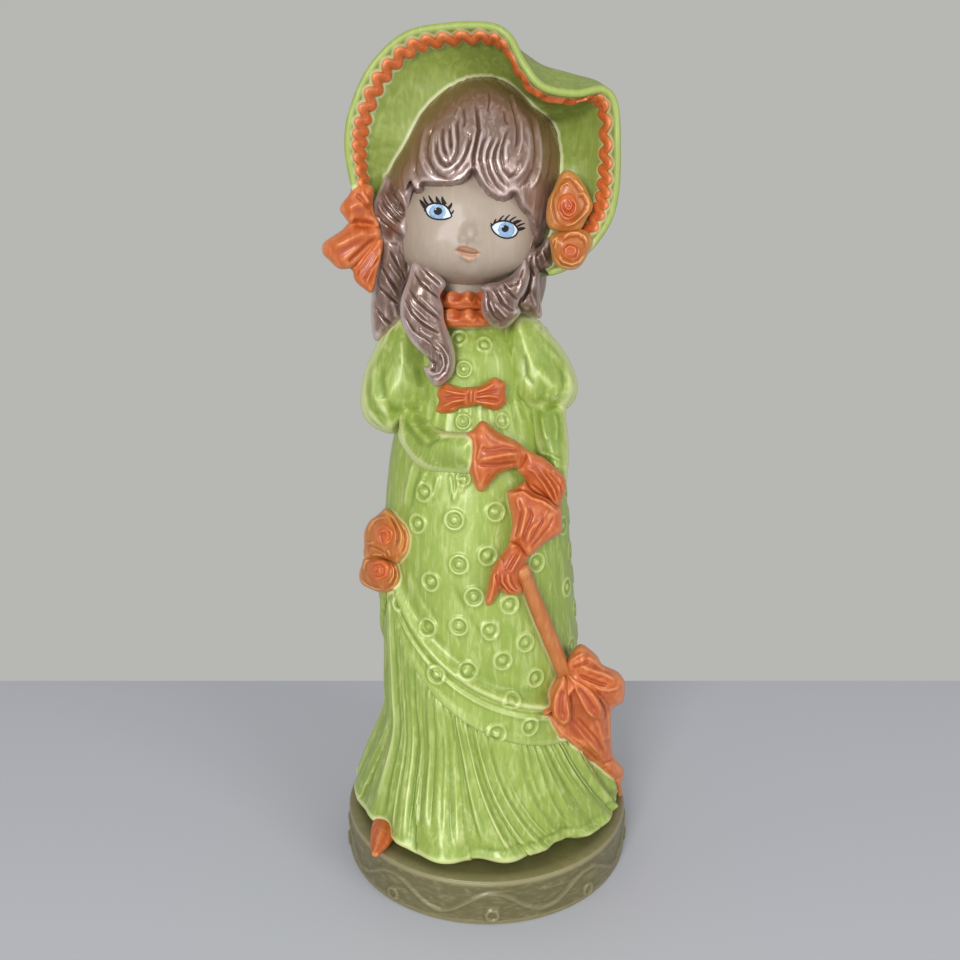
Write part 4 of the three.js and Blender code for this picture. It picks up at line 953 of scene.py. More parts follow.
# parasol
parasol = {
    "parasol_canopy": {
        "outline": [558, 676, 549, 689, 547, 705, 543, 712, 546, 718, 551, 725, 557, 733, 558, 739, 559, 742,
            563, 739, 568, 741, 586, 760, 594, 765, 599, 770, 606, 779, 612, 784, 618, 786, 621, 783, 624, 774,
            623, 768, 614, 757, 611, 718, 612, 710, 616, 706, 622, 703, 624, 698, 625, 687, 624, 680, 618, 672,
            602, 664, 598, 657, 592, 651, 580, 644, 568, 658, 566, 665, 567, 671, 562, 675],
        "lines": [(2.6, 1.3, 581, 667, 607, 675, 618, 682), (2, 0.8, 587, 656, 607, 670), (1.2, 0.8, 595, 687,
            601, 690, 609, 691, 616, 689, 621, 686), (2, -1.3, 578, 675, 598, 683, 609, 686), (1.4, -1.1, 595, 691,
            602, 696, 608, 705, 610, 716), (1.6, -1, 596, 696, 604, 707, 607, 720, 608, 738), (1.2, 0.6, 600, 692,
            610, 709), (2, 0.8, 585, 701, 594, 714, 600, 729, 609, 758), (1.8, 0.7, 572, 722, 600, 755), (1.4, -0.8,
            576, 716, 596, 738, 604, 753), (1.4, -0.8, 566, 735, 589, 752, 600, 762), (1.6, 0.6, 552, 722, 561, 732,
            582, 750), (1.6, -0.9, 600, 765, 613, 759, 620, 764), (2.2, 0.9, 602, 769, 615, 781), (1.6, 0.9, 569, 661,
            585, 652), (1.6, -0.8, 571, 668, 590, 661)],
        # how far the left side comes forward, between which pixels, with what slant below which level
        "front": 9.0, "back": 8.0, "roundness": 12.0, "ahead": (10.0, 548, 578, 1.0, 725),
        "through": [(31.5, -27, 87.6), (36.9, -25, 85.9), (39.9, -23, 77.2), (41.3, -21, 67.6), (41.7, -19.5, 60.4),
                    (42.9, -17.5, 52.2), (46.7, -14.5, 45.1), (51, -11, 39), (54.5, -7, 32), (56, -5, 28.5)],
    },
    "parasol_ribbon_left_loop": {
        "outline": [563, 676, 554, 694, 552, 705, 553, 716, 558, 722, 564, 727, 569, 723, 571, 716, 565, 677],
        "lines": [(1.1, 0.7, 562, 683, 556, 694, 554, 705, 555, 715, 559, 721, 564, 724, 568, 721, 569, 715,
            567, 696), (2.2, -0.9, 563, 689, 561, 701, 561, 712, 564, 718)],
        "front": 2.6, "back": 2.2, "roundness": 3.6,
        "through": [(31.2, -34.5, 84.2), (30.2, -35.6, 77.2), (29.9, -34.8, 70.2), (29.9, -32.6, 64)],
    },
    "parasol_ribbon_right_loop": {
        "outline": [568, 675, 578, 680, 589, 688, 596, 695, 601, 704, 604, 714, 603, 720, 590, 719, 585, 712,
            580, 703],
        "lines": [(1.1, 0.7, 572, 678, 590, 690, 600, 706, 602, 715), (1.1, 0.7, 573, 683, 582, 703, 587, 712,
            593, 717, 599, 719), (2.4, -0.9, 578, 687, 596, 713)],
        "front": 2.6, "back": 2.2, "roundness": 3.6,
        "through": [(33.4, -32.6, 83.8), (38.4, -33.4, 78.2), (42.8, -32.2, 72.4), (46.2, -29.8, 67.6)],
    },
}
for title, shape in parasol.items():
    along = depthAlong(shape["through"])
    ahead, low, high, slant, level = shape.get("ahead", (0, 0, 1, 0, 0))

    def lean(at):
        below = at[:, 1] - level
        return along(at) - ahead * smooth(slant * below - at[:, 0], -high, -low) * (1 - smooth(below, 14, 32))

    mesh = pillow(title, shape, lean)
    finish(title + "_painted", mesh, "orange", "orange", title)

stick = {"shaft": [(11.9, -36, 137.6, 3, 3), (21.7, -31.5, 111.7, 3, 3), (31.5, -27, 85.8, 3, 3)],
         "tip": [(54.2, -7.2, 33, 1.6, 1.6), (56.0, -5, 26, 1.6, 1.6), (57.6, -3, 19.3, 1.6, 1.6)],
         "uneven": 0.05, "dents": 0.03, "collar": 0.09, "collarAt": 0.06, "collarWidth": 0.03}


def stickSwell(angle, v):  # hand-trimmed, so a little uneven along its length
    return (1 + stick["uneven"] * ripple(9 * v, 2) + stick["dents"] * ripple(3 * angle + 4 * v, 5)
            + stick["collar"] * bell(v, stick["collarAt"], stick["collarWidth"]))


for title, columns, rows, ends in (("shaft", 60, 160, (0.02, 0.02)), ("tip", 40, 60, (0.05, 0.06))):
    mesh = skin(title, columns, rows, tubePlace(stick[title], ends=ends, swell=stickSwell))
    finish("parasol_" + title + "_painted", mesh, "ochre", "ochre", "parasol_" + title)

# shoe
shoe = {"stations": [(-40.4, -22, 23, 6, 3.7), (-41.6, -34, 22.6, 5.4, 3.4), (-43, -41, 21.6, 3.5, 2.4),
                     (-44.2, -46, 20.6, 1.0, 1.0)],
        "ridge": 0.8, "ridgeAt": 0.25, "ridgeWidth": 0.05, "lowest": 19.2}


def shoePlace(u, v):
    places = tubePlace(shoe["stations"], front=(0, 0, 1))(u, v)
    ridge = bell(np.mod(u, 1), shoe["ridgeAt"], shoe["ridgeWidth"]) * smooth(v, 0.2, 0.6)
    places[:, 2] = np.maximum(places[:, 2] + shoe["ridge"] * ridge, shoe["lowest"])
    return places


finish("shoe_toe_painted", skin("shoe", 80, 80, shoePlace), "orange", "orange", "shoe_toe")
print("parasol and shoe done")

# head and neck
head = {"centre": (-7, -8, 257), "radii": (26, 26.5, 27), "dense": 0.45, "short": 0.27, "cheeks": 0.02, "flat": 2.5,
        "swells": [(470.4, 231, 7.5, 1.7), (470.4, 237, 5.0, 0.9), (462.5, 238.5, 3.5, 0.5), (478, 240, 3.5, 0.5),
                   (430, 243, 16, 0.6), (508, 258, 14, 0.6), (472, 267, 13, 1.5), (438, 212, 12, -0.5),
                   (506, 229, 12, -0.5), (470, 252, 12, 0.9), (467, 264.5, 6, -0.5)],
        "lines": [(1.1, -0.9, 455.5, 250.4, 460.5, 251.6, 465.8, 253.2, 472, 253.9, 480, 253.6), (2.0, 0.55,
            457, 248.5, 464, 248, 471.5, 250, 478, 252), (2.6, 0.7, 460, 254, 468.7, 257.5, 477, 256), (1.0, -0.35,
            467.5, 242, 467, 246)],
        "upperLip": [454.5, 250.2, 458.1, 246.9, 463.9, 245.8, 471.5, 247.8, 477.3, 250.2, 480.6, 253.4, 472, 254.2,
            465.8, 253.4, 460.5, 251.9],
        "lowerLip": [456.5, 251.2, 462, 252.6, 465.8, 253.4, 472, 254.2, 480.2, 253.9, 479, 255.6, 474.4, 259.2,
            468.7, 261, 462, 257.4]}


def swellRelief(pixels, swells):
    total = np.zeros(len(pixels))
    for x, y, size, height in swells:
        total += height * np.exp(-((pixels - (x, y)) ** 2).sum(1) / size ** 2)
    return total


def headPlace(u, v):  # the lower half is shorter than the upper, with full cheeks
    places = ballPlace(head["centre"], head["radii"], dense=head["dense"])(u, v)
    middle = np.array(head["centre"])
    way = (places - middle) / head["radii"]
    flat = np.clip(np.hypot(way[:, 0], way[:, 2]), 0, 1) ** head["flat"]
    front = middle[1] - head["radii"][1] * (1 - flat) ** (1 / head["flat"])
    places[:, 1] = np.where(way[:, 1] < 0, front, places[:, 1])
    low = np.clip(-way[:, 2], 0, 1)
    full = 1 + head["cheeks"] * np.sin(math.pi * low)
    places[:, 2] = middle[2] + (places[:, 2] - middle[2]) * (1 - head["short"] * smooth(low, 0, 0.9))
    places[:, :2] = middle[:2] + (places[:, :2] - middle[:2]) * full[:, None]
    return places


mesh = skin("head", 330, 250, headPlace)
pixels = pixelOf(readPlaces(mesh))
emboss(mesh, (swellRelief(pixels, head["swells"]) + lineRelief(pixels, head["lines"])) * facing(mesh))
pixels, front = pixelOf(readPlaces(mesh)), facing(mesh)
for lip in ("upperLip", "lowerLip"):
    inside, _ = toOutline(pixels, roundOutline(head[lip]))
    writeField(mesh, lip, smooth(inside, -0.8, 0.8) * (front > 0.1))
finish("head_painted", mesh, "face", "face", "head", reach=2.2, depth=0.5)
headTree = treeOf(mesh)

neck = [(-8.5, -7, 222, 8.5, 8.5), (-8.5, -7, 230, 9, 9), (-8.5, -8, 236, 10.3, 10.3), (-8, -9, 246, 11, 11)]
finish("neck_painted", skin("neck", 90, 60, tubePlace(neck)), "face", "face")

# eyes
eyes = {
    "left": {
        "white": [425.8, 209, 427.6, 206, 431.5, 204.3, 437, 203.9, 443.5, 205.4, 447.8, 209, 450.6, 213.5,
            451, 216.4, 446.5, 218.2, 438.5, 219, 431.5, 217.2, 427.6, 213.8],
        "iris": (437.4, 212.2, 8.7, 8.4), "pupil": (438, 211.2, 4.6, 4.3), "glint": (435.6, 209.3, 1.0, 0.9),
        "upper": [424.6, 211.5, 426.3, 207, 430.5, 204.1, 436.5, 203.2, 443.8, 204.9, 448.6, 209.2, 451.8, 216.8],
        "lower": [425.6, 209.5, 427.2, 214.2, 431.2, 217.8, 438.3, 219.6, 446.6, 218.9, 451.4, 216.9],
        "lashes": [(3.0, 320, 240, 285, 190, 255, 150), (1.9, 350, 215, 315, 170, 295, 118), (1.9, 405, 195, 372, 150,
            350, 105), (2.8, 465, 195, 442, 155, 430, 118), (3.0, 525, 205, 502, 165, 490, 118), (2.4, 560, 245,
            582, 215, 595, 185), (1.5, 590, 300, 605, 280, 615, 262)],
    },
    "right": {
        "white": [491.9, 226.3, 494, 223.9, 499, 222.1, 505.5, 221.6, 511.9, 223.4, 516, 227, 517.6, 230.6,
            515.2, 234.9, 508.2, 237.7, 500.6, 236.2, 495.3, 232.5, 492.5, 228.8],
        "iris": (506.3, 230, 8.7, 8.4), "pupil": (505.2, 228.7, 4.1, 4.0), "glint": (503, 226.8, 1.0, 0.9),
        "upper": [490.8, 226.6, 496.6, 222.2, 505.6, 220.9, 512.6, 223.2, 517, 227.2, 518.4, 231],
        "lower": [491.4, 226.5, 492.2, 229.2, 495, 233.1, 500.4, 236.9, 508.2, 238.4, 515.7, 235.4, 518.2, 230.8],
        "lashes": [(1.4, 1010, 430, 1008, 412, 1000, 395), (1.4, 1035, 400, 1048, 372, 1060, 350), (1.4, 1080, 385,
            1110, 345, 1145, 315), (1.4, 1145, 375, 1172, 338, 1205, 308), (1.5, 1200, 375, 1235, 350, 1270, 330),
            (2.8, 1240, 400, 1282, 382, 1325, 370), (1.6, 1280, 430, 1320, 412, 1360, 400), (2.8, 1290, 465,
            1330, 455, 1365, 450)],
    },
    # the lashes are drawn in an enlarged picture, each with its width first
    "lashFrom": (395, 185), "lashScale": 10.4533, "lashWidth": 1.4, "lashTip": 0.8,
    "lift": 0.16, "thick": 0.35, "round": 0.2, "beside": -30.0, "strokeSteps": 14,
}


def roundShape(centreX, centreY, wide, high, inside=None):
    turn = np.linspace(0, 2 * math.pi, 40, endpoint=False)
    points = np.stack((centreX + wide * np.cos(turn), centreY + high * np.sin(turn)), 1)
    if inside is not None:
        reach, nearest = toOutline(points, inside)
        points[reach < 0.2] = nearest[reach < 0.2]
    return points


def stroke(path, wide, thin):  # the outline of a brush stroke that ends thin
    shares = np.linspace(0, 1, eyes["strokeSteps"])
    points = alongSpline(np.reshape(path, (-1, 2)), shares)
    way = np.gradient(points, axis=0)
    side = np.stack((-way[:, 1], way[:, 0]), 1) / np.linalg.norm(way, axis=1)[:, None]
    width = np.interp(shares, (0, 0.55, 1), (wide, 0.85 * wide, thin))[:, None] / 2
    return np.vstack((points + side * width, (points - side * width)[::-1]))


def decal(name, outlines, coat, lift, step=0.5):  # a thin layer of paint on the face
    bm = bmesh.new()
    for outline in outlines:
        pillowInto(bm, outline, lambda at: depthUnder(headTree, at, eyes["beside"]), lift, eyes["thick"],
                   eyes["round"], step=step, even=0, rounded=0)
    finish(name, meshOf(bm, name), coat, "face", relief=False)


for side in ("left", "right"):
    look = eyes[side]
    white = roundOutline(look["white"])
    decal(side + "_eye_white", [white], "eyeWhite", eyes["lift"])
    decal(side + "_eye_iris", [roundShape(*look["iris"], inside=white)], "iris", eyes["lift"] + 0.05)
    decal(side + "_eye_pupil", [roundShape(*look["pupil"])], "eyeBlack", eyes["lift"] + 0.1)
    decal(side + "_eye_glint", [roundShape(*look["glint"])], "eyeWhite", eyes["lift"] + 0.15, 0.3)
    strokes = [stroke(look["upper"], 2.2, 1.8), stroke(look["lower"], 1.7, 1.7)]
    for width, *path in look["lashes"]:
        path = np.reshape(path, (-1, 2)) / eyes["lashScale"] + eyes["lashFrom"]
        strokes.append(stroke(path, eyes["lashWidth"] * width, eyes["lashTip"]))
    decal(side + "_eye_lashes", strokes, "eyeBlack", eyes["lift"] + 0.12, 0.4)
print("head done")

# collar
collar = {"centre": (-8.5, -7), "tiers": [("collar_lower_frill", 223.3, 15.0), ("collar_upper_frill", 229.4, 13.5)],
          "height": 6.2, "flutes": 13, "flute": 0.85, "scallops": 9, "wave": 0.5, "crimps": 14, "crimp": 0.4,
          "crimpWidth": 0.16, "crimpAt": 0.5, "crimpSway": 0.13, "crimpTo": 0.76, "lift": 0.4,
          # share of the rows, how far out, how high
          "section": [(0, -1.8, 0), (0.1, -0.3, 0.1), (0.2, 0.6, 0.9), (0.4, 0.9, 2.8), (0.58, 0.4, 4.6),
                      (0.68, -0.3, 5.7), (0.76, -1.3, 6.2), (0.86, -2.8, 5.6), (1, -1.8, 0)]}


def frillPlace(low, radius):
    stops = np.array(collar["section"])

    def place(u, v):
        turn = 2 * math.pi * u
        rise = np.interp(v, stops[:, 0], stops[:, 2])
        share = rise / collar["height"]
        flute = collar["flute"] * np.cos(collar["flutes"] * turn + 0.8 * np.sin(3 * turn)) * smooth(share, 0.15, 0.8)
        middle = collar["crimpAt"] + collar["crimpSway"] * np.sin(collar["crimps"] * turn + 2 * np.sin(5 * turn))
        crimp = collar["crimp"] * bell(share, middle, collar["crimpWidth"]) * (v < collar["crimpTo"])
        wave = collar["wave"] * np.cos(collar["scallops"] * turn) * share
        out = np.interp(v, stops[:, 0], stops[:, 1]) + flute + wave + crimp
        z = low + rise + collar["lift"] * np.cos(collar["flutes"] * turn) * smooth(share, 0.6, 1)
        return np.stack((collar["centre"][0] + (radius + out) * np.cos(turn),
                         collar["centre"][1] + (radius + out) * np.sin(turn), z), 1)

    return place


for title, low, radius in collar["tiers"]:
    finish(title + "_painted", skin(title, 320, 40, frillPlace(low, radius)), "orange", "orange", title, reach=1.2)

# hair
hair = {
    "centre": (-5.7, -4, 272), "radii": (34.4, 33, 37.8), "dense": 0.5, "furthest": 1.5,
    "window": [403.2, 202, 408, 184.7, 411.1, 190.1, 415.9, 193.5, 421.4, 193.4, 424.4, 190.1, 423.8, 186.1,
        437.1, 186.5, 452.9, 186.1, 462.6, 184.1, 468.6, 179.2, 473.2, 173.5, 475.3, 178.6, 480.1, 187.1, 488, 195.6,
        496.5, 200.7, 504.4, 201.9, 510.4, 199.2, 513.7, 195.8, 515.6, 200.4, 520.7, 210.1, 528, 217.4, 533, 236,
        528, 256, 524, 300, 405, 300, 404, 262, 402, 230],
    "line": [378, 230, 373, 212, 375, 200, 380, 187, 385, 174, 391, 163, 400, 150, 407, 137, 419, 112, 440, 90,
        468, 75, 492, 73, 504, 77, 514, 82, 525, 92, 535, 103, 546, 111, 555, 121, 562, 140, 563, 165, 562, 190,
        558, 215, 552, 240, 552, 330, 383, 330],
    "strands": 46, "strand": 0.55, "twist": 0.12, "laidOver": 5.5, "onFace": 0.5,
    "lip": 0.5, "lipAt": -2.6, "lipWidth": 2.2,
    "frontTo": 2, "lineTo": 255, "swell": 24, "deep": (9, 3), "deepFrom": (430, 520), "overLine": 5,
    "rim": 1.6, "rimWidth": 3.5, "windowBack": 11,
    "crownPaint": 0.92, "ridgeWider": 1.7, "grooveWider": 1.25, "lineHeight": 0.85, "backStrands": 0.8,
}
fringeLines = [(1.2, 0.7, 431, 120, 426, 130, 423, 140, 421, 157, 423, 165, 427, 173, 434, 179, 440, 181), (0.9, 0.5,
    423, 150, 425, 160, 434, 174), (1.5, 0.8, 440, 124, 436, 133, 434, 142, 434, 151, 435, 159, 439, 166, 444, 170,
    450, 169, 458, 163, 463, 154, 466, 137, 464, 131), (1.1, 0.7, 439, 129, 439, 140, 441, 152, 447, 164), (1.6, 0.8,
    448, 129, 447, 136, 447, 145, 451, 160, 454, 154, 455, 145, 453, 125, 456, 116), (1.4, 0.7, 475, 129, 474, 140,
    466, 162, 460, 170, 453, 175), (1.1, 0.5, 461, 105, 455, 120), (2.4, 0.4, 475, 125, 466, 133), (1.2, 0.7,
    482, 130, 476, 159, 478, 168), (2.2, 0.8, 492, 133, 486, 147, 484, 154, 484, 162, 486, 170), (1.1, 0.7, 499, 134,
    492, 151, 490, 159, 492, 169, 500, 185), (1.1, 0.7, 505, 134, 498, 151, 497, 159, 503, 177), (1.8, 0.7, 511, 139,
    506, 145, 505, 152, 506, 160, 509, 162), (2.4, 0.9, 515, 105, 525, 123, 528, 135, 529, 147, 527, 159, 523, 169,
    517, 176, 510, 182), (1, 0.6, 511, 94, 516, 108), (1, 0.5, 520, 118, 522, 140, 518, 156), (0.9, 0.5, 520, 162,
    518, 169), (1.1, 0.7, 533, 112, 537, 124, 540, 140, 541, 154, 540, 169, 536, 181, 529, 193), (1.1, -1.1, 436, 123,
    429, 135, 427, 147, 427, 157, 432, 168, 438, 175, 448, 179, 458, 176), (1, -0.9, 443, 124, 442, 137, 444, 150,
    448, 157), (1, -0.9, 450, 125, 450, 137, 451, 150), (1.1, -1.1, 459, 112, 457, 125, 458, 140, 457, 152, 452, 163,
    446, 166, 440, 162, 436, 152, 437, 140, 440, 130), (1.1, -1, 469, 133, 470, 142, 467, 152, 461, 163, 453, 171),
    (1.4, -1.6, 476, 100, 479, 130, 474, 154, 473, 175), (0.9, -0.7, 489, 89, 490, 96, 488, 113), (1.1, -1, 488, 130,
    481, 150, 480, 159, 483, 171, 488, 182, 495, 190), (1, -1, 496, 133, 488, 151, 487, 160, 490, 173, 496, 184,
    504, 193), (1, -1, 502, 135, 495, 152, 494, 162, 497, 173, 509, 188), (1.2, -1.2, 510, 125, 502, 146, 502, 157,
    504, 169, 510, 176, 515, 174, 518, 166), (1.1, -1.1, 510, 95, 516, 117, 518, 128, 518, 140, 515, 150), (1.1, -1,
    530, 112, 533, 124, 535, 140, 536, 154, 534, 168, 528, 180, 520, 188), (1.2, -0.8, 463, 106, 465, 120, 463, 129),
    (1.2, -0.8, 504, 108, 506, 120, 509, 125), (1.6, -0.8, 425, 123, 418, 140, 415, 157, 415, 171, 420, 181),
    (1.2, -0.9, 409, 179, 410, 185, 415, 191), (1.6, -0.8, 546, 118, 551, 135, 553, 154, 550, 173, 545, 188),
    (1.4, 0.5, 413, 179, 416, 186, 421, 190)]


def strandRise(places, centre):  # fine strands that run down from the crown of the head
    turn = np.arctan2(places[:, 1] - centre[1], places[:, 0] - centre[0])
    fall = (places[:, 2] - centre[2]) / 30
    twist = turn + hair["twist"] * np.sin(4 * fall + 2 * turn)
    total = hair["strand"] * (crest(hair["strands"] / 2 * twist, 1.3) - 0.4)
    return total + 0.5 * hair["strand"] * (crest(hair["strands"] * 1.3 * twist + 3 * fall, 1.2) - 0.4)


def rayBack(places, distance):  # moves places straight away from the camera, so the picture keeps them
    way = places - eye
    return places + way * (distance / way[:, 1])[:, None]


faceWindow, hairLine = np.reshape(hair["window"], (-1, 2)), np.reshape(hair["line"], (-1, 2))


def hairPlace(u, v):  # a ball cut open round the face, its front fitted to the hair's outline under the brim
    places = ballPlace(hair["centre"], hair["radii"], dense=hair["dense"])(u, v)
    pixels = pixelOf(places)
    front = places[:, 1] < hair["frontTo"]
    inside, _ = toOutline(pixels, faceWindow)
    inside = np.where(front, inside, -50)
    edge, _ = toOutline(pixels, hairLine)
    edge = np.where(front & (pixels[:, 1] < hair["lineTo"]), edge, 90)
    deep = mix(*hair["deep"], smooth(pixels[:, 0], *hair["deepFrom"]))
    back = deep * (1 - quarter(edge / hair["swell"])) + hair["overLine"] * smooth(-edge, 0, 6)
    lip = hair["lip"] * bell(inside, hair["lipAt"], hair["lipWidth"])
    rim = np.clip(1 + inside / hair["rimWidth"], 0, 1)
    back = back - 0.5 * lip + hair["rim"] * rim ** 3 * (inside < 0)
    back = back + (inside >= 0) * (hair["rim"] + hair["windowBack"] * smooth(inside, -0.3, 1.6))
    near = front & (inside > -hair["laidOver"]) & (inside < 14)
    face = depthUnder(headTree, pixels[near], float("nan"))
    onFace = face - hair["onFace"] + 4 * smooth(inside[near], 0, 1.6) - places[near, 1]
    laid = smooth(inside[near], -hair["laidOver"], -0.3)
    back[near] = np.where(np.isnan(face), back[near], mix(back[near], np.nan_to_num(onFace), laid))
    back = np.minimum(back, np.maximum(hair["furthest"] - places[:, 1], 0))
    return rayBack(places, back)


mesh = skin("hair", 370, 265, hairPlace)
places = readPlaces(mesh)
inWindow, _ = toOutline(pixelOf(places), faceWindow)
covered = smooth(-inWindow, 0.3, 3)
shown = facing(mesh)
soft = [(hair["ridgeWider" if height > 0 else "grooveWider"] * width, hair["lineHeight"] * height, *line)
        for width, height, *line in fringeLines]
rise = lineRelief(pixelOf(places), soft) * shown * covered
rise += hair["backStrands"] * strandRise(places, hair["centre"]) * (1 - shown)
emboss(mesh, rise)
nearBonnet, _ = toOutline(pixelOf(places), hairLine)
writeField(mesh, "crownPaint", hair["crownPaint"] * smooth(-nearBonnet, -44, -6) * smooth(places[:, 2], 258, 280))
finish("hair_cap_painted", mesh, "hair", "hair", "hair_cap", reach=1.6, depth=0.4, quiet=smooth(-inWindow, 4, 10))

backHair = {"centre": (-9.5, 8, 240), "radii": (30.5, 20, 28), "full": 0.55, "locks": 6.5, "lock": 2.2,
            "strands": 19, "strand": 0.9, "sway": 2.2}


def backHairPlace(u, v):  # full down to the shoulders, where the hair is cut off
    places = ballPlace((0, 0, 0), (1, 1, 1))(u, v)
    flat = np.linalg.norm(places[:, :2], axis=1)
    wide = np.where(places[:, 2] < 0, flat ** backHair["full"], flat) / np.maximum(flat, 1e-6)
    places[:, :2] *= wide[:, None]
    return np.array(backHair["centre"]) + places * backHair["radii"]


mesh = skin("back hair", 260, 180, backHairPlace)
places = readPlaces(mesh)
turn = np.arctan2(places[:, 1] - backHair["centre"][1], places[:, 0] - backHair["centre"][0])
fall = (places[:, 2] - backHair["centre"][2]) / backHair["radii"][2]
sway = np.sin(backHair["sway"] * fall + turn)
locks = crest(backHair["locks"] * turn + 1.1 * sway, 1.2) - 0.4
strands = crest(backHair["strands"] * turn + 3.3 * sway, 1.3) - 0.4
emboss(mesh, (backHair["lock"] * locks + backHair["strand"] * strands) * smooth(1 - np.abs(fall), 0.02, 0.3))
finish("back_hair_painted", mesh, "hair", "hair", "back_hair", reach=1.6)

